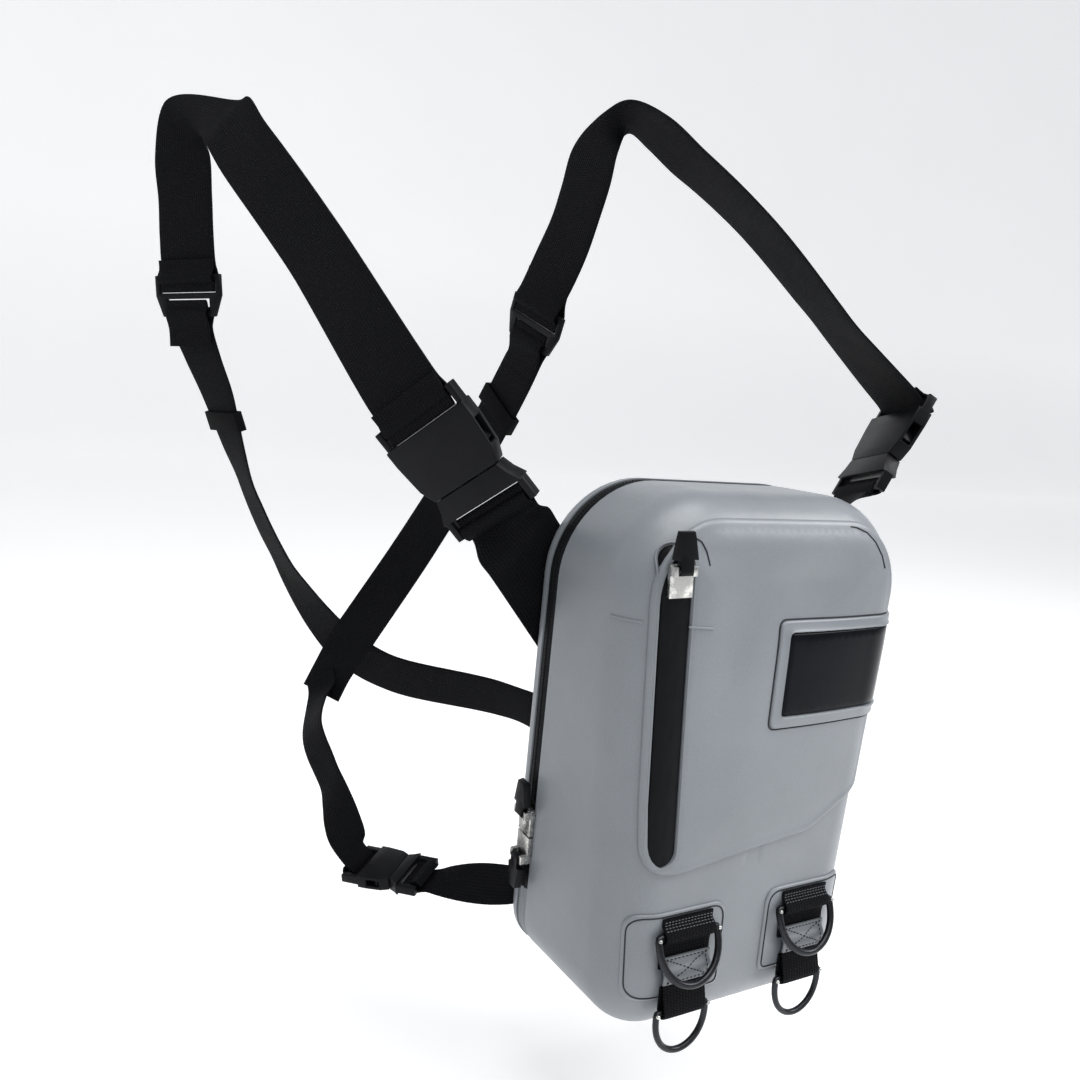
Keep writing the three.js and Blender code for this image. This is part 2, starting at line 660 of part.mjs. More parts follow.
// Pull in its own frame: the pin's axis along X through the origin, the grip along +Y
function pull() {
  const width = SLIDER_WIDTH - 2 * SLIDER_POST_WIDTH - 1.2;
  const eye = SLIDER_PIN_RADIUS + PIN_CLEARANCE;
  const heel = eye + PULL_PLATE_WALL / 2;
  const plate = boxSolid([width, PULL_STANDOFF + 2, 1.8 * heel], [0, PULL_STANDOFF / 2 + 1, 0])
    .add(barSolid(width, heel, [0, 0, 0], 12));
  const half = PULL_WALL / 2;
  const section = (y, breadth) => [
    vec(-breadth / 2, y, -half), vec(breadth / 2, y, -half),
    vec(breadth / 2 - 1, y, half), vec(-breadth / 2 + 1, y, half),
  ];
  const grip = toSolid(loft([
    section(PULL_STANDOFF, PULL_WIDE),
    section(PULL_LENGTH * 0.85, PULL_NARROW),
    section(PULL_LENGTH, PULL_NARROW - 1.5),
  ]));
  const hole = barSolid(SLIDER_WIDTH, eye, [0, 0, 0], 12);
  return toGeometry(grip.add(plate).subtract(hole));
}

function zipHardware(label, at, outward, towardsPull, seat) {
  const frame = new THREE.Group();
  const y = towardsPull.clone().addScaledVector(outward, -towardsPull.dot(outward)).normalize();
  const x = y.clone().cross(outward);
  frame.matrixAutoUpdate = false;
  frame.matrix.makeBasis(x, y, outward).setPosition(at.clone().addScaledVector(outward, seat + SEAT_GAP));
  bag.add(frame);
  place(frame, `${label}_slider`, slider(), sliderMetal);
  const grip = place(frame, `${label}_pull`, pull(), nylon);
  grip.position.set(0, PIN_FROM_CENTRE, SLIDER_PIN_HEIGHT);
}

place(bag, 'front_shell', frontShell(), coatedFabric);
place(bag, 'back_shell', backShell(), coatedFabric);
place(bag, 'main_zip', seamBand(true, MAIN_ZIP_END_HEIGHT, ZIP_BAND_SINK), zipRubber);
place(bag, 'bottom_seam', seamBand(false, MAIN_ZIP_END_HEIGHT - SEAT_GAP, ZIP_BAND_SINK), coatedFabricDark);
place(bag, 'front_pocket', frontPocket(), coatedFabric);
place(bag, 'front_zip', frontZip(), zipRubber);
place(bag, 'window_frame', windowFrame(), coatedFabric);
place(bag, 'window_sheet', windowPane(), windowSheet);
place(bag, 'left_patch', patch(-1), coatedFabric);
place(bag, 'right_patch', patch(1), coatedFabric);
ringSet('left', -1);
ringSet('right', 1);

// Sliders: one on the front zip, two that meet low on the left of the main zip
const frontSliderZ = FRONT_ZIP_TOP - (FRONT_ZIP_WIDTH + SLIDER_LENGTH) / 2;
const frontSliderX = zipCentreX(frontSliderZ);
const frontTurn = Math.asin((FRONT_FILLET - FRONT_ZIP_FROM_EDGE) / FRONT_FILLET);
const zipUp = vec(-Math.sin(EDGE_LEAN), 0, Math.cos(EDGE_LEAN));
zipHardware(
  'front',
  vec(frontSliderX, skinDepth(frontSliderX, frontSliderZ), frontSliderZ),
  vec(-Math.sin(frontTurn), -Math.cos(frontTurn), 0),
  zipUp,
  SEAT_GAP + FRONT_ZIP_WALL,
);
const sideOut = vec(-Math.cos(EDGE_LEAN), 0, -Math.sin(EDGE_LEAN));
const sideUp = vec(-Math.sin(EDGE_LEAN), -Math.sin(BACK_LEAN), Math.cos(EDGE_LEAN)).normalize();
const mainZipPoint = (z) => vec(leftEdgeX(z), depthAt(z) - ZIP_FROM_BACK - ZIP_BAND_WIDTH / 2, z);
zipHardware('upper_main', mainZipPoint(UPPER_MAIN_SLIDER_HEIGHT), sideOut, sideUp, 0);
zipHardware('lower_main', mainZipPoint(LOWER_MAIN_SLIDER_HEIGHT), sideOut, sideUp.clone().negate(), 0);

// Harness. A facing is an angle in degrees: turn 0 faces the bag's front, 90 its right; tip is upwards.
const facing = (turn, tip) => vec(
  Math.cos(rad(tip)) * Math.sin(rad(turn)),
  -Math.cos(rad(tip)) * Math.cos(rad(turn)),
  Math.sin(rad(tip)),
);
const wornAt = ({ right, back, drop }) => (
  vec(right * HARNESS_SPAN, back * HARNESS_DEPTH, -drop * HARNESS_DROP)
);
const fromBag = (x, y, z) => vec(x, y, z).add(bag.position);

// Webbing folded round a bar: rows from its free end to where it leaves the bar, on the side given
function fold(bar, heading, across, barRadius, length = FOLD_LENGTH, side = 1) {
  const along = heading.clone().addScaledVector(across, -heading.dot(across)).normalize();
  const out = across.clone().cross(along).normalize().multiplyScalar(side);
  const reach = barRadius + BAR_CLEARANCE + WEBBING_WALL / 2;
  const layer = WEBBING_WALL / 2 + 0.4;
  const row = (u, v) => ({ at: bar.clone().addScaledVector(along, u).addScaledVector(out, v), across });
  const past = (u) => row(u, u > 2 * barRadius ? -layer : -reach);
  return [
    past(length),
    past(length * 0.45),
    ...[-90, -45, 0, 45, 90].map(
      (angle) => row(-reach * Math.cos(rad(angle)), reach * Math.sin(rad(angle))),
    ),
    { ...row(FOLD_LEAD, layer), line: along },
  ];
}

// The rows of one strap: a fixed start, a smooth run through places, and a fixed end
function strapRows(start, places, end, spacing) {
  const first = start[start.length - 1];
  const last = end[0];
  const stops = [first.at, ...places.map((p) => p.at), last.at];
  const before = start.length > 1
    ? start[start.length - 2].at
    : first.at.clone().multiplyScalar(2).sub(stops[1]);
  const after = end.length > 1 ? end[1].at : last.at.clone().multiplyScalar(2).sub(stops[stops.length - 2]);
  const curve = new THREE.CatmullRomCurve3([before, ...stops, after], false, 'centripetal');
  const turns = [first.across];
  places.forEach((p, i) => {
    const along = stops[i + 2].clone().sub(stops[i]).normalize();
    const across = along.clone().cross(p.facing).normalize();
    turns.push(across.dot(turns[i]) < 0 ? across.negate() : across);
  });
  const flip = last.across.dot(turns[turns.length - 1]) < 0 ? -1 : 1;
  turns.push(last.across.clone().multiplyScalar(flip));
  const run = stops.slice(1).flatMap((stop, leg) => {
    const steps = Math.max(Math.round(stop.distanceTo(stops[leg]) / spacing), 1);
    return Array.from({ length: steps }, (_, k) => ({
      at: curve.getPoint((leg + 1 + (k + 1) / steps) / (stops.length + 1)),
      across: turns[leg].clone().lerp(turns[leg + 1], (k + 1) / steps).normalize(),
    }));
  });
  Object.assign(run[run.length - 1], { line: last.line, crease: last.crease });
  const tail = end.slice(1).map((row) => ({ ...row, across: row.across.clone().multiplyScalar(flip) }));
  return [...start, ...run, ...tail];
}

// Webbing sewn flat on the back of the bag: its place, and the way it leaves, in the back's plane
const backOut = vec(0, Math.cos(BACK_LEAN), Math.sin(BACK_LEAN));
const backUp = vec(0, -Math.sin(BACK_LEAN), Math.cos(BACK_LEAN));

function sewn(x, z, heading, length = LOWER_ANCHOR_LENGTH) {
  const along = vec(Math.cos(rad(heading)), 0, 0).addScaledVector(backUp, Math.sin(rad(heading)));
  const across = along.clone().cross(backOut);
  const at = fromBag(x, depthAt(z), z).addScaledVector(backOut, SEAT_GAP + WEBBING_WALL / 2);
  return [-0.5, 0.5].map(
    (share) => ({ at: at.clone().addScaledVector(along, share * length), across, line: along }),
  );
}

// Side-release buckle in its own frame: X across, Y from the plug end to the socket end
const plugBarFrom = (width) => -(0.28 * width + 10);
const socketBarFrom = (width) => 0.66 * width + 14;

function flatSolid(points, wall, holes = []) {
  const shape = new THREE.Shape(points.map(([x, y]) => new THREE.Vector2(x, y)));
  const cut = holes.map((hole) => new THREE.Path(hole.map(([x, y]) => new THREE.Vector2(x, y))));
  shape.holes.push(...cut);
  const geometry = new THREE.ExtrudeGeometry(shape, { depth: wall, bevelEnabled: false });
  geometry.translate(0, 0, -wall / 2);
  return toSolid(geometry);
}

function arms(width, from, bar, wall) {
  const half = width / 2 + 1 + BUCKLE_ARM / 2;
  const reach = Math.sign(bar) * (BAR_RADIUS + 0.4);
  const arm = (side) => boxSolid(
    [BUCKLE_ARM, Math.abs(bar + reach - from), wall * 0.6],
    [side * half, (from + bar + reach) / 2, 0],
  );
  return arm(-1).add(arm(1)).add(barSolid(width + 2 + BUCKLE_ARM, BAR_RADIUS, [0, bar, 0]));
}

function socket(width, wall) {
  const half = width / 2 + 1 + BUCKLE_ARM;
  const length = 0.66 * width + 5;
  const body = flatSolid([
    [-half * 0.8, 0.5], [half * 0.8, 0.5],
    [half * 0.94, length * 0.25], [half, length * 0.75], [half, length],
    [-half, length], [-half, length * 0.75], [-half * 0.94, length * 0.25],
  ], wall);
  const cavity = boxSolid([half * 1.5, length - 5, wall - 2 * BUCKLE_SKIN], [0, (length - 5) / 2, 0]);
  const window = boxSolid([width * 2, length * 0.42, wall - 2 * BUCKLE_SKIN], [0, length * 0.5, 0]);
  const sides = arms(width, length - 1, socketBarFrom(width), wall);
  return toGeometry(body.subtract(cavity).subtract(window).add(sides));
}

function plug(width, wall) {
  const half = width / 2 + 1 + BUCKLE_ARM;
  const base = 0.28 * width;
  const length = 0.66 * width + 5;
  const body = flatSolid([
    [-half * 0.78, 0], [half * 0.78, 0], [half * 0.86, -base * 0.5], [half, -base], [-half, -base],
    [-half * 0.86, -base * 0.5],
  ].reverse(), wall);
  const tongue = wall - 2 * BUCKLE_SKIN - 2 * SEAT_GAP;
  const rightProng = [
    [half * 0.5, -1], [half * 0.7, -1], [half * 0.7, length * 0.3],
    [half * 0.92, length * 0.36], [half * 0.7, length * 0.68], [half * 0.5, length * 0.68],
  ];
  const leftProng = rightProng.map(([x, y]) => [-x, y]).reverse();
  const guide = boxSolid([width * 0.16, length * 0.6, tongue], [0, length * 0.3 - 1, 0]);
  const prongs = flatSolid(rightProng, tongue).add(flatSolid(leftProng, tongue)).add(guide);
  return toGeometry(body.add(prongs).add(arms(width, -base + 1, plugBarFrom(width), wall)));
}

// Places a fastened buckle, and gives the two bars that its straps fold round
function buckle(label, width, wall, at, along, face) {
  const y = along.clone().normalize();
  const z = face.clone().addScaledVector(y, -face.dot(y)).normalize();
  const x = y.clone().cross(z);
  const frame = new THREE.Group();
  frame.matrixAutoUpdate = false;
  frame.matrix.makeBasis(x, y, z).setPosition(at);
  harness.add(frame);
  place(frame, `${label}_socket`, socket(width, wall), nylon);
  place(frame, `${label}_plug`, plug(width, wall), nylon);
  const barAt = (from) => at.clone().addScaledVector(y, from);
  return { plugBar: barAt(plugBarFrom(width)), socketBar: barAt(socketBarFrom(width)), along: y, across: x };
}

// Adjuster where the wide shoulder strap meets the narrower back strap
function adjuster(label, at, down, face) {
  const y = down.clone().normalize();
  const z = face.clone().addScaledVector(y, -face.dot(y)).normalize();
  const x = y.clone().cross(z);
  const pitch = ADJUSTER_BAR + ADJUSTER_SLOT;
  const [wide, narrow] = [SHOULDER_WIDTH + 2, BACK_STRAP_WIDTH + 2].map((w) => w / 2);
  const end = pitch + ADJUSTER_BAR / 2;
  const edge = ADJUSTER_BAR;
  const outer = [
    [-wide - edge, -end], [wide + edge, -end], [wide + edge, 0], [narrow + edge, end], [-narrow - edge, end],
    [-wide - edge, 0],
  ];
  const hole = (half, from) => [
    [-half, from], [-half, from + ADJUSTER_SLOT], [half, from + ADJUSTER_SLOT], [half, from],
  ];
  const plate = flatSolid(outer, ADJUSTER_WALL, [
    hole(wide, -pitch + ADJUSTER_BAR / 2), hole(narrow, ADJUSTER_BAR / 2),
  ]);
  const frame = new THREE.Group();
  frame.matrixAutoUpdate = false;
  frame.matrix.makeBasis(x, y, z).setPosition(at);
  harness.add(frame);
  place(frame, `${label}_adjuster`, toGeometry(plate), nylon);
  return {
    upper: at.clone().addScaledVector(y, -pitch),
    lower: at.clone().addScaledVector(y, pitch),
    across: x,
    down: y,
  };
}

// Keeper loop round a strap, at a share of the strap's rows
function keeper(label, rows, share, width) {
  const k = Math.round(share * (rows.length - 1));
  const y = rows[k + 1].at.clone().sub(rows[k - 1].at).normalize();
  const x = rows[k].across.clone().addScaledVector(y, -rows[k].across.dot(y)).normalize();
  const z = x.clone().cross(y);
  const inner = [width / 2 + KEEPER_ROOM, WEBBING_WALL / 2 + KEEPER_ROOM];
  const outer = inner.map((size) => size + KEEPER_WALL);
  const sleeve = boxSolid([2 * outer[0], KEEPER_LENGTH, 2 * outer[1]], [0, 0, 0])
    .subtract(boxSolid([2 * inner[0], KEEPER_LENGTH + 2, 2 * inner[1]], [0, 0, 0]));
  const frame = new THREE.Group();
  frame.matrixAutoUpdate = false;
  frame.matrix.makeBasis(x, y, z).setPosition(rows[k].at);
  harness.add(frame);
  place(frame, `${label}_keeper`, toGeometry(sleeve), webbing);
}

// The two creases where a strap turns over the shoulder, each from its outer to its inner edge
const toCreases = (table) => table.map(({ outer, inner }) => {
  const [from, to] = [wornAt(outer), wornAt(inner)];
  return {
    at: from.clone().lerp(to, 0.5),
    across: to.clone().sub(from).normalize(),
    crease: from.distanceTo(to),
  };
});
const toPlaces = (table) => table.map((row) => ({ at: wornAt(row), facing: facing(row.turn, row.tip) }));
const FLAT_BAR = Math.hypot(ADJUSTER_BAR, ADJUSTER_WALL) / 2;

// Left side: upper anchor, buckle, shoulder strap over the shoulder, adjuster, back strap
const LEFT_FRONT = [
  { right: -0.2, back: -0.11, drop: 0.185, turn: -74, tip: -2 },
  { right: -0.29, back: 0.1, drop: 0.085, turn: -77, tip: 0 },
];
const LEFT_CREASES = [
  { outer: { right: -0.303, back: 0.132, drop: 0.022 }, inner: { right: -0.35, back: 0.297, drop: 0.058 } },
  { outer: { right: -0.402, back: 0.531, drop: 0.002 }, inner: { right: -0.332, back: 0.414, drop: 0.047 } },
];
const LEFT_DOWN = [
  { right: -0.355, back: 0.475, drop: 0.12, turn: 121, tip: 5 },
];
const LEFT_BACK = [
  { right: -0.255, back: 0.5, drop: 0.37, turn: 112, tip: 20 },
  { right: -0.17, back: 0.515, drop: 0.49, turn: 92, tip: 24 },
  { right: -0.045, back: 0.56, drop: 0.614, turn: 98, tip: 22 },
  { right: 0.147, back: 0.58, drop: 0.748, turn: 121, tip: 6 },
  { right: 0.25, back: 0.45, drop: 0.782, turn: 136, tip: 24 },
  { right: 0.52, back: 0.1, drop: 0.795, turn: 127, tip: 30 },
  { right: 0.68, back: -0.2, drop: 0.84, turn: 150, tip: 10 },
];
const leftBuckle = buckle(
  'left', SHOULDER_WIDTH, BUCKLE_WALL,
  fromBag(-0.68 * BAG_TOP_WIDTH, 1.25 * BAG_TOP_DEPTH, 0.972 * BAG_HEIGHT),
  vec(-0.63, 0.25, 0.735), facing(-66, 2),
);
const leftAdjuster = adjuster(
  'left', wornAt({ right: -0.335, back: 0.482, drop: 0.245 }), vec(0.1, 0, -1), facing(122, 0),
);
place(harness, 'left_anchor', strip(strapRows(
  sewn(-0.406 * BAG_TOP_WIDTH, 0.753 * BAG_HEIGHT, 131, ANCHOR_LENGTH),
  [],
  fold(
    leftBuckle.plugBar, leftBuckle.along.clone().negate(),
    leftBuckle.across, BAR_RADIUS, TUCKED_END,
  ).reverse(),
  ANCHOR_SPACING,
), SHOULDER_WIDTH, WEBBING_WALL, TWIST_COLUMNS), webbing);
const leftUp = strapRows(
  fold(leftBuckle.socketBar, leftBuckle.along, leftBuckle.across, BAR_RADIUS, SHORT_FOLD, -1),
  toPlaces(LEFT_FRONT),
  toCreases(LEFT_CREASES),
  STRAP_SPACING,
);
const leftShoulder = strapRows(
  leftUp,
  toPlaces(LEFT_DOWN),
  fold(
    leftAdjuster.upper, leftAdjuster.down.clone().negate(),
    leftAdjuster.across, FLAT_BAR, SHORT_FOLD, -1,
  ).reverse(),
  STRAP_SPACING,
);
place(harness, 'left_shoulder_strap', strip(leftShoulder, SHOULDER_WIDTH, WEBBING_WALL), webbing);
const leftBack = strapRows(
  fold(leftAdjuster.lower, leftAdjuster.down, leftAdjuster.across, FLAT_BAR),
  toPlaces(LEFT_BACK),
  sewn(0.38 * BAG_BOTTOM_WIDTH, 0.16 * BAG_HEIGHT, 160).reverse(),
  20,
);
place(harness, 'left_back_strap', strip(leftBack, BACK_STRAP_WIDTH, WEBBING_WALL), webbing);
keeper('left', leftBack, 0.28, BACK_STRAP_WIDTH);

// Right side: upper anchor, buckle, shoulder strap over the shoulder, adjuster, back strap
const RIGHT_FRONT = [
  { right: 0.965, back: -0.53, drop: 0.205, turn: 72, tip: 50 },
  { right: 0.725, back: -0.49, drop: 0.106, turn: 75, tip: 55 },
  { right: 0.535, back: -0.45, drop: 0.044, turn: 80, tip: 60 },
];
const RIGHT_CREASES = [
  { outer: { right: 0.378, back: -0.438, drop: -0.008 }, inner: { right: 0.456, back: -0.317, drop: 0.01 } },
  { outer: { right: 0.385, back: -0.25, drop: 0.003 }, inner: { right: 0.393, back: -0.376, drop: 0.042 } },
];
const RIGHT_DOWN = [
  { right: 0.398, back: -0.17, drop: 0.13, turn: 90, tip: 7 },
];
const RIGHT_BACK = [
  { right: 0.383, back: 0.18, drop: 0.39, turn: 101, tip: 2 },
  { right: 0.278, back: 0.375, drop: 0.576, turn: 115, tip: -7 },
  { right: 0.128, back: 0.458, drop: 0.737, turn: 120, tip: -6 },
];
const rightBuckle = buckle(
  'right', SHOULDER_WIDTH, BUCKLE_WALL,
  fromBag(0.835 * BAG_TOP_WIDTH, 1.14 * BAG_TOP_DEPTH, 1.058 * BAG_HEIGHT),
  vec(0.52, 0, 0.85), facing(65, -30),
);
const rightAdjuster = adjuster(
  'right', wornAt({ right: 0.395, back: -0.03, drop: 0.24 }), vec(-0.03, 0.35, -1), facing(96, 2),
);
place(harness, 'right_anchor', strip(strapRows(
  sewn(0.4 * BAG_TOP_WIDTH, 0.775 * BAG_HEIGHT, 42, ANCHOR_LENGTH),
  [],
  fold(
    rightBuckle.plugBar, rightBuckle.along.clone().negate(),
    rightBuckle.across, BAR_RADIUS, TUCKED_END,
  ).reverse(),
  ANCHOR_SPACING,
), SHOULDER_WIDTH, WEBBING_WALL, TWIST_COLUMNS), webbing);
const rightUp = strapRows(
  fold(rightBuckle.socketBar, vec(-0.8, 0.13, 0.59), rightBuckle.across, BAR_RADIUS, SHORT_FOLD, -1),
  toPlaces(RIGHT_FRONT),
  toCreases(RIGHT_CREASES),
  STRAP_SPACING,
);
const rightShoulder = strapRows(
  rightUp,
  toPlaces(RIGHT_DOWN),
  fold(rightAdjuster.upper, rightAdjuster.down.clone().negate(), rightAdjuster.across, FLAT_BAR).reverse(),
  STRAP_SPACING,
);
place(harness, 'right_shoulder_strap', strip(rightShoulder, SHOULDER_WIDTH, WEBBING_WALL), webbing);
const rightBackEnd = [
  { right: 0.088, back: 0.455, drop: 0.774 },
  { right: 0.055, back: 0.447, drop: 0.808 },
].map(
  (row) => ({ at: wornAt(row), across: vec(-0.47, -0.12, -0.87).cross(facing(118, -10)).normalize() }),
);
const rightBack = strapRows(
  fold(rightAdjuster.lower, rightAdjuster.down, rightAdjuster.across, FLAT_BAR),
  toPlaces(RIGHT_BACK),
  rightBackEnd,
  20,
);
place(harness, 'right_back_strap', strip(rightBack, BACK_STRAP_WIDTH, WEBBING_WALL), webbing);
keeper('right', rightBack, 0.42, BACK_STRAP_WIDTH);

// Lower strap, sewn on where the right back strap ends, and the small buckle that ties it to the bag
const LOWER_RUN = [
  { right: 0.025, back: 0.38, drop: 0.812, turn: 95, tip: -30 },
  { right: -0.022, back: 0.24, drop: 0.835, turn: 93, tip: -20 },
  { right: -0.015, back: 0.09, drop: 0.875, turn: 100, tip: -12 },
];
const lowerBuckle = buckle(
  'lower', LOWER_STRAP_WIDTH, SMALL_BUCKLE_WALL,
  fromBag(-0.79 * BAG_BOTTOM_WIDTH, 1.5 * BAG_BOTTOM_DEPTH, 0.087 * BAG_HEIGHT),
  vec(-0.635, 0.775, -0.075), facing(-50, 80),
);
// The start of a strap sewn on the end of another, turned half way towards where it goes
function sewnOn(rows, side, towards) {
  const [near, end] = rows.slice(-2);
  const run = end.at.clone().sub(near.at).normalize();
  const out = end.across.clone().cross(run).normalize();
  out.multiplyScalar(Math.sign(out.dot(side)) * (WEBBING_WALL + 2 * SEAT_GAP));
  const turn = Math.sign(end.across.dot(towards));
  const along = run.clone().addScaledVector(end.across, turn).normalize();
  const across = end.across.clone().addScaledVector(run, -turn).normalize();
  return [-1, 0].map((back) => ({
    at: end.at.clone().addScaledVector(run, -SEWN_OVERLAP / 2)
      .addScaledVector(along, back * SEWN_OVERLAP).add(out),
    across,
    line: along,
  }));
}
place(harness, 'lower_strap', strip(strapRows(
  sewnOn(rightBack, vec(-1, -1, 0), vec(0, -1, 0)),
  toPlaces(LOWER_RUN),
  fold(lowerBuckle.socketBar, vec(-0.1, 0.6, 0.8), lowerBuckle.across, BAR_RADIUS, TUCKED_END).reverse(),
  ANCHOR_SPACING * 1.5,
), LOWER_STRAP_WIDTH, WEBBING_WALL, TURN_COLUMNS), webbing);
place(harness, 'lower_anchor', strip(strapRows(
  sewn(-0.36 * BAG_BOTTOM_WIDTH, 0.13 * BAG_HEIGHT, 183),
  [],
  fold(
    lowerBuckle.plugBar, lowerBuckle.along.clone().negate(),
    lowerBuckle.across, BAR_RADIUS, TUCKED_END,
  ).reverse(),
  ANCHOR_SPACING,
), LOWER_STRAP_WIDTH, WEBBING_WALL, TURN_COLUMNS), webbing);

export default part;
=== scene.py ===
# %% [markdown]
# # A waterproof tackle sling bag, step by step
# The bag is a welded shell of coated fabric that hangs from a harness of black webbing.
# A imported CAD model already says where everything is, so this script only dresses it.
# Every piece is made in metres in the CAD's own frame, so nothing has to be fitted afterwards.

# %% Load the CAD frame
import math
import bmesh
import bpy
import numpy as np
from mathutils import Matrix, Vector
from mathutils.bvhtree import BVHTree
from mathutils.geometry import delaunay_2d_cdt


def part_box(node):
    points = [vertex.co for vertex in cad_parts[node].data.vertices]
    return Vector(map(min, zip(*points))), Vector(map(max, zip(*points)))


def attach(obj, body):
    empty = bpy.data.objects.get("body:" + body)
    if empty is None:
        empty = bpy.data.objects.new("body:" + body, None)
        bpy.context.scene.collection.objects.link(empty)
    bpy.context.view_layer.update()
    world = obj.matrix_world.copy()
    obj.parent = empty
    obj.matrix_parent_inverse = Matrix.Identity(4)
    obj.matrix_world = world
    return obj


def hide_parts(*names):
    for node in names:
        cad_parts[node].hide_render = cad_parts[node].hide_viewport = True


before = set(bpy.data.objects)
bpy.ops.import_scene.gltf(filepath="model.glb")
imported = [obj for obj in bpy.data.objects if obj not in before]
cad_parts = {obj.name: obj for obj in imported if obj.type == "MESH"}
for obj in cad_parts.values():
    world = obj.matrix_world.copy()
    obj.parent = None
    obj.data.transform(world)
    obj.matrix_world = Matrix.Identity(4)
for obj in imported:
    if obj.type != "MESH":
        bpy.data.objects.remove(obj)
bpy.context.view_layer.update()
BODY = "bag_and_harness"

# %% [markdown]
# ## Sizes
# These are the CAD's own driving sizes in millimetres, measured from the bottom centre of the front.
# X runs across the bag, -Y is its front and Z is up. Keeping the designer's numbers and turning them
# into metres in one function is easier to read than metres everywhere.

# %% Sizes of the bag
HEIGHT = 300
TOP_WIDTH = 204
BOTTOM_WIDTH = 165
TOP_DEPTH = 88
BOTTOM_DEPTH = 120
TOP_CORNER = 53
BOTTOM_CORNER = 34
FILLET = 29
BACK_FILLET = 9
WALL = 2
CROWN = 3
ZIP_FROM_BACK = 11
ZIP_BAND = 10
ZIP_END = 48
GAP = 0.3
BAG_PLACE = Vector((151, -232, -511))


def metres(point):
    return (Vector(point) + BAG_PLACE) / 1000


def mix(a, b, t):
    return a + (b - a) * t


print("bag:", TOP_WIDTH, "x", BOTTOM_DEPTH, "x", HEIGHT, "mm")

# %% [markdown]
# ## One finished piece
# Blender pieces can be moved by their object or by their vertices. Here every object stays at the
# origin and the vertices hold the place, as in the CAD, so patterns never slide. This helper also
# says which body the piece rides on and which CAD node it replaces.

# %% Finish a mesh
def finished(name, mesh, finish, slot, replaces=(), body=BODY, sharp=None):
    mesh.materials.append(finish)
    mesh.polygons.foreach_set("use_smooth", [True] * len(mesh.polygons))
    if sharp:
        mesh.set_sharp_from_angle(angle=math.radians(sharp))
    piece = bpy.data.objects.new(name, mesh)
    bpy.context.scene.collection.objects.link(piece)
    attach(piece, body)
    if replaces:
        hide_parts(*replaces)
    return piece


def add_uv(mesh, uv):
    layer = mesh.uv_layers.new(name="UVMap")
    corners = np.zeros(len(mesh.loops), np.int32)
    mesh.loops.foreach_get("vertex_index", corners)
    layer.data.foreach_set("uv", np.array(uv, np.float32)[corners].ravel())


def make_piece(name, points, faces, finish, slot, uv=None, **about):
    mesh = bpy.data.meshes.new(name)
    mesh.from_pydata([tuple(p) for p in points], [], faces)
    if uv is not None:
        add_uv(mesh, uv)
    bm = bmesh.new()
    bm.from_mesh(mesh)
    bmesh.ops.recalc_face_normals(bm, faces=bm.faces)
    bm.to_mesh(mesh)
    bm.free()
    print(name, len(mesh.polygons), "faces")
    return finished(name, mesh, finish, slot, **about)


# %% [markdown]
# ## Lofts
# A loft joins rings of equally many points, as a designer skins ribs. It suits shells, straps and
# wire alike. An open loft gets a fan of triangles on each end, so the piece is always closed.

# %% Join rings of points
def loft(rings, loop=False):
    count = len(rings[0])
    points = [p for ring in rings for p in ring]
    faces = []
    for k in range(len(rings) if loop else len(rings) - 1):
        here = k * count
        after = ((k + 1) % len(rings)) * count
        for i in range(count):
            j = (i + 1) % count
            faces.append((here + i, here + j, after + j, after + i))
    if loop:
        return points, faces
    for ring, start in ((rings[0], 0), (rings[-1], (len(rings) - 1) * count)):
        points.append(sum((Vector(p) for p in ring), Vector()) / count)
        faces += [(len(points) - 1, start + i, start + (i + 1) % count) for i in range(count)]
    return points, faces


# %% [markdown]
# ## Shader maths as expressions
# A finish is a small program of nodes. Wiring Math nodes by hand hides what they say, so this class
# wraps a socket and lets plain expressions such as `1 - mask` add the nodes.

# %% A socket that understands arithmetic
class Value:
    def __init__(self, finish, socket):
        self.finish = finish
        self.socket = socket

    def math(self, operation, *values):
        return self.finish.node("ShaderNodeMath", {"operation": operation}, dict(enumerate(values)))

    def __add__(self, other):
        return self.math("ADD", self, other)

    def __mul__(self, other):
        return self.math("MULTIPLY", self, other)

    def __sub__(self, other):
        return self.math("SUBTRACT", self, other)

    def __rsub__(self, other):
        return self.math("SUBTRACT", other, self)

    def sin(self):
        return self.math("SINE", self)

    def abs(self):
        return self.math("ABSOLUTE", self)

    def floor(self):
        return self.math("FLOOR", self)

    __radd__ = __add__
    __rmul__ = __mul__


# %% [markdown]
# ## A finish under construction
# What is the same all over is set on the shader's own socket. What varies is fed in as a link. One
# method adds any other node, and noise reads Object coordinates, so its scale is in waves per metre.

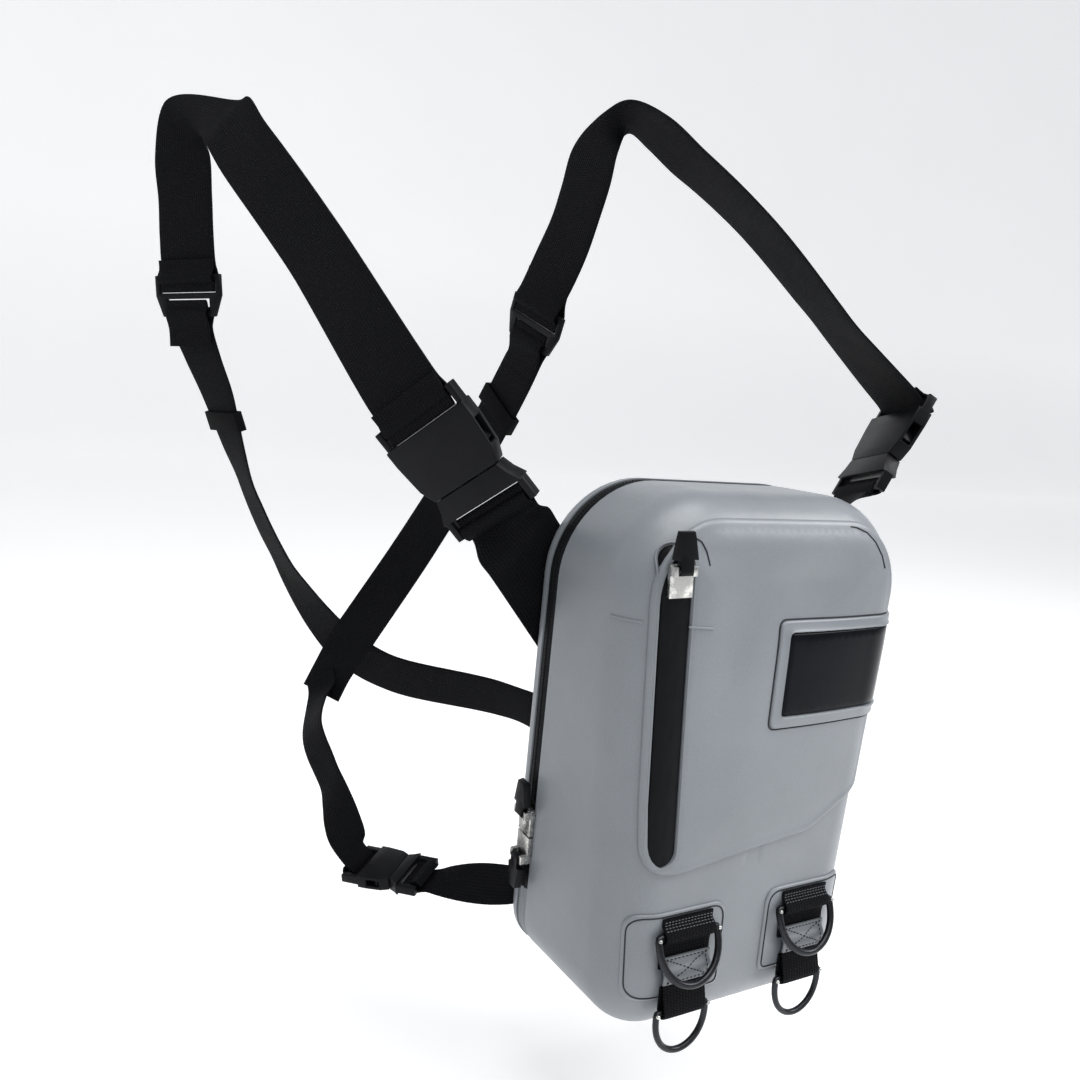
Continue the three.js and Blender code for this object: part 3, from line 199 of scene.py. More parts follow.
# %% A finish
class Finish:
    def __init__(self, name, **constants):
        self.material = bpy.data.materials.new(name)
        self.material.use_nodes = True
        self.tree = self.material.node_tree
        self.shader = next(n for n in self.tree.nodes if n.type == "BSDF_PRINCIPLED")
        for key, value in constants.items():
            socket = key.replace("_", " ").title().replace("Ior", "IOR")
            self.shader.inputs[socket].default_value = value

    def node(self, kind, settings, values, output=0):
        made = self.tree.nodes.new(kind)
        for key, value in settings.items():
            setattr(made, key, value)
        for key, value in values.items():
            if isinstance(value, Value):
                self.tree.links.new(value.socket, made.inputs[key])
            else:
                made.inputs[key].default_value = value
        return Value(self, made.outputs[output])

    def along_and_across(self):
        uv = self.node("ShaderNodeTexCoord", {}, {}, "UV")
        split = self.node("ShaderNodeSeparateXYZ", {}, {0: uv}).socket.node
        return Value(self, split.outputs[0]), Value(self, split.outputs[1])

    def noise(self, scale, detail=3.0, roughness=0.5):
        place = self.node("ShaderNodeTexCoord", {}, {}, "Object")
        values = {"Vector": place, "Scale": scale, "Detail": detail, "Roughness": roughness}
        return self.node("ShaderNodeTexNoise", {}, values)

    def colours(self, factor, dark, light):
        values = {0: factor, 6: (*dark, 1), 7: (*light, 1)}
        return self.node("ShaderNodeMix", {"data_type": "RGBA"}, values, 2)

    def stretch(self, factor, low, high):
        return self.node("ShaderNodeMapRange", {}, {0: factor, 1: low, 2: high, 3: 0.0, 4: 1.0})

    def feed(self, **links):
        for key, value in links.items():
            self.tree.links.new(value.socket, self.shader.inputs[key.replace("_", " ").title()])

    def bump(self, height, distance, strength):
        values = {"Strength": strength, "Distance": distance, "Height": height}
        self.feed(normal=self.node("ShaderNodeBump", {}, values))


# %% [markdown]
# ## Coated fabric
# The shell is a grey plastic film over cloth: satin, a little cloudy, with a fine leathery grain and
# shallow puckers. A photograph could be mapped on, but three scales of noise give the same cloud,
# grain and pucker, and they work on any shape.

# %% Coated fabric
def coated_fabric(name, dark, light, roughness):
    made = Finish(name, coat_weight=0.12, coat_roughness=0.35, specular_ior_level=0.5)
    cloud = made.noise(scale=9, detail=4)
    grain = made.noise(scale=1400, detail=2)
    pucker = made.noise(scale=46, detail=3, roughness=0.55)
    patches = made.stretch(cloud * 0.7 + grain * 0.3, 0.36, 0.64)
    made.feed(base_color=made.colours(patches, dark, light))
    made.feed(roughness=made.noise(scale=60, detail=4) * 0.16 + (roughness - 0.08))
    made.bump(pucker * 0.75 + grain * 0.05, distance=0.0011, strength=0.55)
    return made.material


FABRIC = coated_fabric("coated_fabric", (0.146, 0.161, 0.176), (0.19, 0.207, 0.224), 0.38)
FABRIC_DARK = coated_fabric("coated_fabric_dark", (0.1, 0.11, 0.119), (0.14, 0.152, 0.163), 0.48)
print("fabrics:", FABRIC.name, FABRIC_DARK.name)

# %% [markdown]
# ## Webbing
# Nylon webbing is woven in fine lengthwise ribs, crossed by picks. Real thread geometry would need
# millions of faces, so the weave is a bump. Each strap carries its own length and width as a UV map
# in metres, which lets the weave follow every bend at true size.

# %% Webbing
def webbing(name, rib, pick):
    made = Finish(name, specular_ior_level=0.07)
    along, across = made.along_and_across()
    column = across * (1 / rib)
    ribs = (column * math.pi).sin().abs()
    picks = (along * (2 * math.pi / pick) + column.floor() * math.pi).sin()
    weave = ribs * 0.7 + picks * 0.3
    cloud = made.noise(scale=38, detail=4)
    # The colour follows the weave's height, so the grooves between the ribs are painted darker as shade; the
    # noise cloud adds the webbing's own uneven tone.
    shade = made.stretch(weave * 0.5 + cloud * 0.6, 0.3, 1.0)
    made.feed(base_color=made.colours(shade, (0.0016, 0.0017, 0.0022), (0.0062, 0.0064, 0.008)))
    made.feed(roughness=cloud * 0.2 + 0.62)
    made.bump(weave + made.noise(scale=900, detail=2) * 0.35, distance=0.00045, strength=0.8)
    return made.material


WEBBING = webbing("webbing", rib=0.0021, pick=0.0017)
print("weave:", WEBBING.name)

# %% [markdown]
# ## Plastic, rubber, window and thread
# Buckles are moulded nylon with a faint grain, the zip tapes are smooth rubbery film, the window is
# a glossy sheet and the thread is dull. They differ only in colour, gloss and grain, so one function
# makes them all.

# %% Moulded and filmy blacks
def moulded(name, dark, light, roughness, grain_depth, shine=0.1):
    made = Finish(name, specular_ior_level=shine)
    grain = made.noise(scale=1800, detail=2)
    cloud = made.noise(scale=70, detail=3)
    made.feed(base_color=made.colours(cloud, dark, light))
    made.feed(roughness=cloud * 0.14 + grain * 0.06 + (roughness - 0.1))
    made.bump(grain, distance=grain_depth, strength=0.5)
    return made.material


NYLON = moulded("nylon", (0.0022, 0.0023, 0.003), (0.006, 0.0062, 0.0075), 0.36, 0.00012)
RUBBER = moulded("zip_rubber", (0.0025, 0.0028, 0.0034), (0.006, 0.0065, 0.0078), 0.42, 0.0001, 0.07)
WINDOW = moulded("window_sheet", (0.002, 0.0023, 0.0035), (0.0045, 0.0055, 0.008), 0.17, 0.00003, 0.06)
THREAD = moulded("black_thread", (0.003, 0.003, 0.0036), (0.012, 0.012, 0.014), 0.6, 0.0001)
PALE_THREAD = moulded("pale_thread", (0.07, 0.074, 0.08), (0.13, 0.137, 0.148), 0.6, 0.0001)
# A near-black finish for the wires that paint shade into the creases along raised borders.
CREASE_SHADE_LINE = moulded("crease_shade_finish", (0.012, 0.013, 0.015), (0.035, 0.038, 0.042), 0.5, 0.0001)
print("finishes so far:", len(bpy.data.materials))

# %% [markdown]
# ## Metals
# The D-rings are blackened steel, and the zip sliders are bare bright metal. Both wear unevenly, so
# noise breaks the outer skin and shows the worn metal below, which is also a little smoother.

# %% Metals
def steel(name, skin, worn, polish, roughness, amount):
    made = Finish(name, metallic=0.95)
    wear = made.stretch(made.noise(scale=130, detail=5, roughness=0.65), 1 - amount, 1 - amount + 0.12)
    scratch = made.noise(scale=700, detail=3, roughness=0.6)
    made.feed(base_color=made.colours(wear, skin, worn))
    made.feed(roughness=scratch * 0.2 + (roughness - 0.1) - wear * polish)
    made.bump(scratch, distance=0.00006, strength=0.5)
    return made.material


GUNMETAL = steel("gunmetal", (0.03, 0.031, 0.034), (0.22, 0.22, 0.23), 0.06, 0.3, 0.34)
SLIDER_METAL = steel("slider_metal", (0.34, 0.34, 0.33), (0.62, 0.61, 0.58), 0.08, 0.28, 0.5)
print("metals:", GUNMETAL.name, SLIDER_METAL.name)

# %% [markdown]
# ## The bag's outline
# Seen from the front the bag is a trapezoid with round corners, wider at its top. Its four corners
# are true arcs, so the outline is worked out rather than drawn. Each point also keeps the direction
# that it faces, because every skin and panel needs to know which way is outwards.

# %% Outline of the bag
LEAN = math.atan2(TOP_WIDTH - BOTTOM_WIDTH, 2 * HEIGHT)
FACINGS = [-math.pi / 2, -LEAN, math.pi / 2, math.pi + LEAN]
STRETCHES = (18, 30, 18, 30)


def half_width(z):
    return mix(BOTTOM_WIDTH, TOP_WIDTH, z / HEIGHT) / 2


def depth(z):
    return mix(BOTTOM_DEPTH, TOP_DEPTH, z / HEIGHT)


def corner(i):
    side = (0.5, 0.5, -0.5, -0.5)[i]
    top = (TOP_WIDTH, HEIGHT, TOP_CORNER)
    bottom = (BOTTOM_WIDTH, 0, BOTTOM_CORNER)
    width, height, radius = top if i in (1, 2) else bottom
    start = FACINGS[i]
    end = FACINGS[(i + 1) % 4] + (2 * math.pi if i == 3 else 0)
    pull = radius / (1 + math.cos(end - start))
    x = side * width - pull * (math.cos(start) + math.cos(end))
    z = height - pull * (math.sin(start) + math.sin(end))
    return x, z, radius, start, end


def corner_arc(i, inset, steps):
    x, z, radius, start, end = corner(i)
    reach = radius - inset
    angles = [mix(start, end, k / steps) for k in range(steps + 1)]
    return [(x + reach * math.cos(a), z + reach * math.sin(a), math.cos(a), math.sin(a)) for a in angles]


def outline(inset, steps=14, stretches=STRETCHES):
    arcs = [corner_arc(i, inset, steps) for i in range(4)]
    points = []
    for i, arc in enumerate(arcs):
        a = arc[-1]
        b = arcs[(i + 1) % 4][0]
        count = stretches[(i + 1) % 4]
        points += arc
        shares = [k / count for k in range(1, count)]
        points += [(mix(a[0], b[0], t), mix(a[1], b[1], t), a[2], a[3]) for t in shares]
    return points


print("outline points:", len(outline(0)))

# %% [markdown]
# ## How the front bulges
# The front isn't flat: it crowns by a few millimetres and dips softly beside the zip and the window.
# Sculpting would do, but then no panel could be laid on it exactly. A formula gives the rise at any
# point, and a second one finds the nearest point of the outline.

# %% Crown of the front
CROWN_BOTTOM = 91
CROWN_RUN = 0.27 * TOP_WIDTH
SOFT_FORMS = [(-0.3, 0.84, 0.13, 0.1, 0.55), (0.06, 0.85, 0.15, 0.06, -1.0), (-0.17, 0.72, 0.07, 0.12, -0.5)]


def soft_form(x, z, form):
    across, up, wide, tall, height = form
    return height * math.exp(-((x / TOP_WIDTH - across) / wide) ** 2 - ((z / HEIGHT - up) / tall) ** 2)


def rise(x, z):
    room = min(half_width(z) - FILLET - abs(x), z - CROWN_BOTTOM, HEIGHT - FILLET - z)
    share = min(max(room / CROWN_RUN, 0), 1)
    fade = min(max(2 * room / FILLET, 0), 1)
    soft = sum(soft_form(x, z, form) for form in SOFT_FORMS)
    return CROWN * (share * (2 - share) + soft * fade)


def edge_of(x, z):
    for i in range(4):
        cx, cz, radius, start, end = corner(i)
        away = math.hypot(x - cx, z - cz)
        angle = math.atan2(z - cz, x - cx)
        angle += 2 * math.pi if angle < start else 0
        if start <= angle <= end and away > 1e-6:
            return radius - away, (x - cx) / away, (z - cz) / away
    side = ((half_width(z) - abs(x)) * math.cos(LEAN), FACINGS[1 if x > 0 else 3])
    inset, facing = min((z, FACINGS[0]), (HEIGHT - z, FACINGS[2]), side)
    return inset, math.cos(facing), math.sin(facing)


def on_front(x, z, lift):
    inset, out_x, out_z = edge_of(x, z)
    lean = min(max(FILLET - inset, 0) / FILLET, 1)
    upright = math.sqrt(1 - lean * lean)
    y = FILLET * (1 - upright) - rise(x, z)
    return metres((x + out_x * lean * lift, y - upright * lift, z + out_z * lean * lift))


print("rise at the middle of the front:", round(rise(0, HEIGHT / 2), 2), "mm")

# %% [markdown]
# ## Rings of the front
# The front shell is a deep tray. Its skin is described as rings: down the side, round the fillet and
# in to the middle of the face. Close rings matter here, because satin fabric shows every facet.

# %% Rings of the front skin
SIDE_SHARES = (1, 0.985, 0.8, 0.6, 0.4, 0.2, 0.06)
ROLL_STEPS = 16
FACE_STEPS = 16
FACE_REACH = 0.97


def towards_middle(x, z, share):
    return mix(x, 0, share), mix(z, min(max(z, TOP_WIDTH / 2), HEIGHT - TOP_WIDTH / 2), share)


def front_rings(lift):
    edge = outline(0)
    face = outline(FILLET)
    rim = ZIP_FROM_BACK + ZIP_BAND + GAP
    reach = FILLET + lift
    rings = []
    for s in SIDE_SHARES:
        ring = [(x + ox * lift, mix(FILLET, depth(z) - rim, s), z + oz * lift) for x, z, ox, oz in edge]
        rings.append([metres(point) for point in ring])
    for k in range(ROLL_STEPS + 1):
        turn = k / ROLL_STEPS * math.pi / 2
        out = reach * math.cos(turn)
        y = FILLET - reach * math.sin(turn)
        rings.append([metres((x + ox * out, y, z + oz * out)) for x, z, ox, oz in face])
    for k in range(1, FACE_STEPS):
        spots = [towards_middle(x, z, k / FACE_STEPS * FACE_REACH) for x, z, _, _ in face]
        rings.append([metres((x, -rise(x, z) - lift, z)) for x, z in spots])
    return rings


print("front rings:", len(front_rings(0)))

# %% [markdown]
# ## Rings of the back
# The back shell is a shallow tray that closes the bag from behind. It is made like the front, with a
# small fillet and a plain face that leans with the bag's depth.

# %% Rings of the back skin
BACK_ROLL_STEPS = 8
BACK_STEPS = 12
BACK_REACH = 0.98


def back_rings(lift):
    reach = BACK_FILLET + lift
    face = outline(BACK_FILLET)
    rim = [(x + ox * lift, depth(z) - ZIP_FROM_BACK + GAP, z + oz * lift) for x, z, ox, oz in outline(0)]
    rings = [[metres(point) for point in rim]]
    for k in range(BACK_ROLL_STEPS + 1):
        turn = k / BACK_ROLL_STEPS * math.pi / 2
        out = reach * math.cos(turn)
        back = reach * math.sin(turn) - BACK_FILLET
        rings.append([metres((x + ox * out, depth(z) + back, z + oz * out)) for x, z, ox, oz in face])
    for k in range(1, BACK_STEPS + 1):
        spots = [towards_middle(x, z, k / BACK_STEPS * BACK_REACH) for x, z, _, _ in face]
        rings.append([metres((x, depth(z) + lift, z)) for x, z in spots])
    return rings


print("back rings:", len(back_rings(0)))

# %% [markdown]
# ## The shells
# Each shell is a skin 2 mm thick with a real inside. A Solidify modifier could thicken it, but it
# would wander at the rim. Lofting the outer rings to the rim and on into the inner rings gives the
# exact wall, so the rim meets the zip as it does on the real bag.

# %% Front and back shell
def shell(name, rings_at, node):
    points, faces = loft(rings_at(0)[::-1] + rings_at(-WALL))
    return make_piece(name, points, faces, FABRIC, "coated_fabric", replaces=[node], sharp=50)


shell("front_skin", front_rings, "front_shell")
shell("back_skin", back_rings, "back_shell")

# %% [markdown]
# ## Loops on the skin
# The pocket, the zip tape, the window and the patches are thin welded layers with soft edges. Each
# starts as a flat loop of points. These helpers space a loop evenly, shrink it, round its corners
# and tell whether a point lies inside it.

# %% Loop helpers
def area(loop):
    return sum(a[0] * b[1] - b[0] * a[1] for a, b in zip(loop, loop[1:] + loop[:1])) / 2


def resampled(loop, pitch):
    points = [Vector(p) for p in loop]
    points.append(points[0])
    walked = np.cumsum([0] + [(b - a).length for a, b in zip(points, points[1:])])
    stations = np.linspace(0, walked[-1], max(int(walked[-1] / pitch), 8), endpoint=False)
    xs = np.interp(stations, walked, [p[0] for p in points])
    zs = np.interp(stations, walked, [p[1] for p in points])
    return list(zip(xs, zs))


def inset_loop(loop, distance):
    moved = []
    for i, (x, z) in enumerate(loop):
        ax, az = loop[i - 1]
        bx, bz = loop[(i + 1) % len(loop)]
        run = math.hypot(bx - ax, bz - az) or 1
        moved.append((x - (bz - az) / run * distance, z + (bx - ax) / run * distance))
    return moved


def inside(loop, x, z):
    hit = False
    for (ax, az), (bx, bz) in zip(loop, loop[1:] + loop[:1]):
        if (az > z) != (bz > z) and x < (bx - ax) * (z - az) / (bz - az) + ax:
            hit = not hit
    return hit


def rounded(corners, steps=8):
    points = []
    for i, (x, z, radius) in enumerate(corners):
        if not radius:
            points.append((x, z))
            continue
        p = Vector((x, z))
        start = (Vector(corners[i - 1][:2]) - p).normalized() * radius
        end = (Vector(corners[(i + 1) % len(corners)][:2]) - p).normalized() * radius
        shares = [k / steps for k in range(steps + 1)]
        points += [tuple(p + (1 - t) ** 2 * start + t * t * end) for t in shares]
    return points


print("area of a 10 mm square:", area([(0, 0), (10, 0), (10, 10), (0, 10)]))

# %% [markdown]
# ## Panels
# A boolean or a Solidify could lift a layer off the bulging front, but both leave ragged edges. A
# panel is filled by triangulating its loop in the plane, and then every point is lifted off the skin.
# Its border is swept through a rounded profile, so its edge catches the light as a weld does.

# %% Panel builder
def no_relief(x, z):
    return 0


def round_edge(base, height, width, steps=5):
    angles = [k / steps * math.pi / 2 for k in range(steps + 1)]
    return [(0, base)] + [(width * (1 - math.cos(a)), base + height * math.sin(a)) for a in angles[1:]]


def sweep_border(loop, profile, point, relief, start):
    count = len(loop)
    points = []
    faces = []
    for step, (distance, lift) in enumerate(profile):
        ring = inset_loop(loop, distance)
        extra = relief if step == len(profile) - 1 else no_relief
        points += [point(x, z, lift + extra(x, z)) for x, z in ring]
    for step in range(len(profile) - 1):
        low = start + step * count
        for i in range(count):
            j = (i + 1) % count
            faces.append((low + i, low + j, low + count + j, low + count + i))
    return points, faces, ring


def filled(top_loops, grid):
    flat = [p for loop in top_loops for p in loop]
    borders = np.array(flat)
    xs = [p[0] for p in top_loops[0]]
    zs = [p[1] for p in top_loops[0]]
    for column, x in enumerate(np.arange(min(xs), max(xs), grid)):
        for z in np.arange(min(zs) + (column % 2) * grid / 2, max(zs), grid):
            near = np.min((borders[:, 0] - x) ** 2 + (borders[:, 1] - z) ** 2)
            holed = any(inside(hole, x, z) for hole in top_loops[1:])
            if near >= (0.55 * grid) ** 2 and inside(top_loops[0], x, z) and not holed:
                flat.append((x, z))
    return flat


def panel(name, outer, finish, slot, replaces, profile, point=on_front, holes=(), hole_profile=None,
          pitch=1.6, grid=3.0, relief=no_relief):
    loops = [resampled(loop, pitch) for loop in [outer, *holes]]
    loops = [loop if (area(loop) > 0) == (k == 0) else loop[::-1] for k, loop in enumerate(loops)]
    points = []
    faces = []
    top_loops = []
    edges = []
    matched = []
    for k, loop in enumerate(loops):
        steps = hole_profile if k else profile
        start = len(points)
        count = len(loop)
        border_points, border_faces, ring = sweep_border(loop, steps, point, relief, start)
        points += border_points
        faces += border_faces
        base = len(matched)
        edges += [(base + i, base + (i + 1) % count) for i in range(count)]
        matched += [(start + (len(steps) - 1) * count + i, start + i) for i in range(count)]
        top_loops.append(ring)
    flat = [Vector(p) for p in filled(top_loops, grid)]
    spots, _, triangles, origins, _, _ = delaunay_2d_cdt(flat, edges, [], 1, 1e-5)
    upper = []
    lower = []
    for spot, origin in zip(spots, origins):
        if origin and origin[0] < len(matched):
            above, below = matched[origin[0]]
        else:
            above, below = len(points), len(points) + 1
            points.append(point(spot[0], spot[1], profile[-1][1] + relief(spot[0], spot[1])))
            points.append(point(spot[0], spot[1], profile[0][1]))
        upper.append(above)
        lower.append(below)
    for triangle in triangles:
        x = sum(spots[i][0] for i in triangle) / 3
        z = sum(spots[i][1] for i in triangle) / 3
        if not any(inside(hole, x, z) for hole in top_loops[1:]):
            faces.append(tuple(upper[i] for i in triangle))
            faces.append(tuple(lower[i] for i in reversed(triangle)))
    return make_piece(name, points, faces, finish, slot, replaces=replaces, sharp=60)


# %% [markdown]
# ## The front pocket
# The pocket is one raised panel, pressed on by a welding die, so its edge rises over a few
# millimetres and ends in a small lip. It follows the bag's outline above and is cut off slantwise
# below. Its slot for the zip is a hole in the panel.

# %% Front pocket
ZIP_WIDTH = 16
ZIP_FROM_EDGE = 24.5
ZIP_LOW = 104
ZIP_HIGH = HEIGHT - 26
POCKET_INSET = 12
POCKET_EDGE = round_edge(0.1, 2.3, 2.2) + [(3.2, 2.35), (4.2, 2.0)]
SLOT_EDGE = [(0, 0.1), (0, 1.2), (0.35, 1.75), (1.0, 2.0)]


def zip_x(z):
    return -half_width(z) + ZIP_FROM_EDGE


def zip_end(z, turn, radius):
    angles = [turn + math.pi * k / 12 + LEAN for k in range(13)]
    return [(zip_x(z) + radius * math.cos(a), z + radius * math.sin(a)) for a in angles]


def zip_outline(margin):
    radius = ZIP_WIDTH / 2 + margin
    return zip_end(ZIP_LOW + ZIP_WIDTH / 2, math.pi, radius) + zip_end(ZIP_HIGH - ZIP_WIDTH / 2, 0, radius)


def pocket_edge(z):
    return half_width(z) - POCKET_INSET


def lowest_on_right(points):
    return min(range(len(points)), key=lambda i: (points[i][0] <= 0, points[i][1]))


def pocket_outline():
    over = [(x, z) for x, z, _, _ in outline(POCKET_INSET) if z > 135]
    first = lowest_on_right(over)
    foot = rounded([
        (-pocket_edge(135), 161, 0), (-pocket_edge(95), 95, 26), (pocket_edge(110) - 40, 110, 6),
        (pocket_edge(131), 131, 3), (pocket_edge(135), 150, 0),
    ])
    return foot[1:-1] + over[first:] + over[:first]


panel(
    "pocket_panel", pocket_outline(), FABRIC, "coated_fabric", ["front_pocket"], POCKET_EDGE,
    holes=[zip_outline(GAP)], hole_profile=SLOT_EDGE, grid=2.6,
)

# %% [markdown]
# ## The front zip
# A waterproof zip is two rubbery lips that meet in a fine groove. The relief function domes the tape
# and presses that groove into it, which catches light where a painted line wouldn't.

# %% Front zip
ZIP_DOME = 0.55
GROOVE_DEPTH = 0.4
GROOVE_WIDTH = 0.5


def zip_relief(x, z):
    off = abs(x - zip_x(z))
    dome = ZIP_DOME * (1 - (off / (ZIP_WIDTH / 2)) ** 2)
    return dome - GROOVE_DEPTH * math.exp(-(off / GROOVE_WIDTH) ** 2)


panel(
    "front_zip_tape", zip_outline(0), RUBBER, "zip_rubber", ["front_zip"], round_edge(0.1, 1.2, 0.8, 3),
    pitch=1.2, grid=1.6, relief=zip_relief,
)

# %% [markdown]
# ## The window
# A raised frame and a glossy dark sheet wrap round the right front edge. Projecting a flat outline
# would stretch them there, so they are drawn on the unrolled skin: across is the distance walked
# over the fillet and on to the side.

# %% Window frame and sheet
WINDOW_TOP = HEIGHT - 65
WINDOW_LOW = WINDOW_TOP - 60
WINDOW_LEFT = -5
WINDOW_PAST_ROLL = 8
BORDER = 6.5
ROLL = FILLET * math.pi / 2
FRAME_LIP = [(0, 2.0), (0, 3.7), (0.5, 4.2), (1.1, 4.0), (1.9, 3.5)]


def on_wrap(walked, z, lift):
    flat = half_width(z) - FILLET / math.cos(LEAN)
    if walked <= flat:
        return on_front(walked, z, lift)
    turn = min((walked - flat) / FILLET, math.pi / 2)
    past = max(walked - flat - ROLL, 0)
    out = math.sin(turn) * lift
    x = half_width(z) - FILLET * (1 - math.sin(turn)) / math.cos(LEAN)
    y = FILLET * (1 - math.cos(turn)) + past - rise(x, z) * math.cos(turn)
    return metres((x + math.cos(LEAN) * out, y - math.cos(turn) * lift, z - math.sin(LEAN) * out))


def window_outline(margin, radius):
    end = half_width(200) - FILLET + ROLL + WINDOW_PAST_ROLL - margin
    low = WINDOW_LOW + margin
    high = WINDOW_TOP - margin
    left = WINDOW_LEFT + margin
    return rounded([(left, low, radius), (end, low, radius), (end, high, radius), (left, high, radius)])


def pane_relief(walked, z):
    return 0.35 * math.exp(-((z - (WINDOW_LOW + WINDOW_TOP) / 2) / 22) ** 4)


panel(
    "window_border", window_outline(0, 5), FABRIC, "coated_fabric", ["window_frame"],
    round_edge(2.0, 1.5, 1.3), on_wrap, [window_outline(BORDER, 3)], FRAME_LIP, pitch=1.8,
)
panel(
    "window_pane", window_outline(BORDER + 0.25, 3), WINDOW, "window_sheet", ["window_sheet"],
    round_edge(2.0, 1.25, 1.5), on_wrap, pitch=1.8, relief=pane_relief,
)

# %% [markdown]
# ## The two patches
# Each pair of D-rings hangs from a patch welded low on the front. It spreads the pull over the
# fabric. It is a small panel like the pocket, with larger corners towards the bag's side.

# %% Patches
PATCH_INNER = 15
PATCH_OUTER = 76
PATCH_LOW = 27
PATCH_HIGH = 77
SIDES = ((-1, "left"), (1, "right"))


def patch_outline(side, margin=0.0):
    low = PATCH_LOW + margin
    high = PATCH_HIGH - margin
    inner = PATCH_INNER + margin
    outer = PATCH_OUTER - margin
    lean = (PATCH_HIGH - PATCH_LOW) * math.tan(LEAN)
    corners = [(inner, low, 4), (outer, low, 9), (outer + lean, high, 9), (inner, high, 9)]
    return rounded([(side * x, z, radius) for x, z, radius in corners])


for side, label in SIDES:
    panel(
        f"{label}_ring_patch", patch_outline(side), FABRIC, "coated_fabric", [f"{label}_patch"],
        round_edge(0.1, 1.35, 1.6),
    )

# %% [markdown]
# ## The main zip and the welded seam
# A black rubber zip runs up the left side, over the top and down the right, set a little below the
# skin. It closes against the seam band that goes on round the bottom. Both are one section lofted
# along the outline, so they follow the corners without pinching.

# %% Seam bands
SEAM_SUNK = 0.6


def seam_end(side):
    x = side * (half_width(ZIP_END) - SEAM_SUNK / math.cos(LEAN))
    return x, ZIP_END, side * math.cos(LEAN), -math.sin(LEAN)


def highest_on_left(points):
    return min(range(len(points)), key=lambda i: (points[i][0] >= 0, -points[i][1]))


def zip_path():
    kept = [p for p in outline(SEAM_SUNK, 18, (24, 40, 24, 40)) if p[1] > ZIP_END + 2]
    first = lowest_on_right(kept)
    return [seam_end(1)] + kept[first:] + kept[:first] + [seam_end(-1)]


def seam_path():
    kept = [p for p in outline(SEAM_SUNK, 18, (24, 40, 24, 40)) if p[1] < ZIP_END - 2.3]
    first = highest_on_left(kept)
    return [seam_end(-1)] + kept[first:] + kept[:first] + [seam_end(1)]


def seam_band(name, path, groove, finish, slot, node):
    section = [
        (0.0, 0.4), (0.06, 0.0), (0.4, -0.25), (0.46, -0.2 + groove), (0.54, -0.2 + groove),
        (0.6, -0.25), (0.94, 0.0), (1.0, 0.4), (1.0, 2.4), (0.0, 2.4),
    ]
    rings = []
    for x, z, ox, oz in path:
        front = depth(z) - ZIP_FROM_BACK - ZIP_BAND
        rings.append([metres((x - ox * sink, front + ZIP_BAND * t, z - oz * sink)) for t, sink in section])
    points, faces = loft(rings)
    return make_piece(name, points, faces, finish, slot, replaces=[node], sharp=40)


seam_band("main_zip_band", zip_path(), 0.7, RUBBER, "zip_rubber", "main_zip")
seam_band("bottom_seam_band", seam_path(), 0.1, FABRIC_DARK, "coated_fabric_dark", "bottom_seam")

# %% [markdown]
# ## Reading a strap back from the CAD
# A CAD strap is a strip of flat facets. Drawing it again by hand would never match, so its rows of
# corners are read back from the CAD mesh: from the middle of its end cap to the ring around it, and
# then ring by ring to the other end.

# %% Rows of a CAD strap
STRIP_RINGS = (4, 6, 10)


def merged(node):
    bm = bmesh.new()
    bm.from_mesh(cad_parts[node].data)
    bmesh.ops.remove_doubles(bm, verts=bm.verts, dist=2e-6)
    bm.verts.ensure_lookup_table()
    return bm


def in_order(members, near):
    members = set(members)
    order = [min(members)]
    while len(order) < len(members):
        after = [i for i in near[order[-1]] & members if i not in order]
        if not after:
            return None
        order.append(after[0])
    return order if order[0] in near[order[-1]] else None


def is_cap(i, spots, near):
    around = near[i]
    middle = sum((spots[j] for j in around), Vector()) / len(around)
    central = (middle - spots[i]).length < 2e-5
    return len(around) in STRIP_RINGS and central and in_order(around, near)


def next_ring(ring, fresh, spots, near):
    order = in_order(fresh, near)
    turns = [order[k:] + order[:k] for k in range(len(order))]
    turns += [turn[::-1] for turn in turns]
    linked = [turn for turn in turns if all(b in near[a] for a, b in zip(ring, turn))]
    return min(linked, key=lambda turn: sum((spots[a] - spots[b]).length for a, b in zip(turn, ring)))


def cad_rows(node):
    bm = merged(node)
    spots = [v.co.copy() for v in bm.verts]
    near = [{e.other_vert(v).index for e in v.link_edges} for v in bm.verts]
    bm.free()
    cap = next(i for i in range(len(spots)) if is_cap(i, spots, near))
    ring = in_order(near[cap], near)
    count = len(ring)
    short = min(range(count), key=lambda i: (spots[ring[i]] - spots[ring[(i + 1) % count]]).length)
    rings = [ring[short + 1:] + ring[:short + 1]]
    seen = {cap, *ring}
    fresh = set().union(*(near[i] for i in ring)) - seen
    while len(fresh) >= count:
        rings.append(next_ring(rings[-1], fresh, spots, near))
        seen |= set(rings[-1])
        fresh = set().union(*(near[i] for i in rings[-1])) - seen
    half = count // 2
    rows = []
    for p in [[spots[i] for i in ring] for ring in rings]:
        up = (p[-1] - p[0] + p[half] - p[half - 1]).normalized()
        rows.append(np.array([*(p[0] + p[-1]) / 2, *(p[half - 1] + p[half]) / 2, *up]))
    return rows, (spots[rings[0][0]] - spots[rings[0][-1]]).length


print("rows of the lower strap:", len(cad_rows("lower_strap")[0]))

# %% [markdown]
# ## Smoothing the rows
# A spline through the rows turns the facets into one flowing strip. Each edge gets its own curve,
# spaced by the root of the distance, because an evenly spaced spline throws spikes where a strap
# folds over and its two edges travel unequal ways.

# %% Curves through the rows
EDGES_AND_UP = (slice(0, 3), slice(3, 6), slice(6, 9))


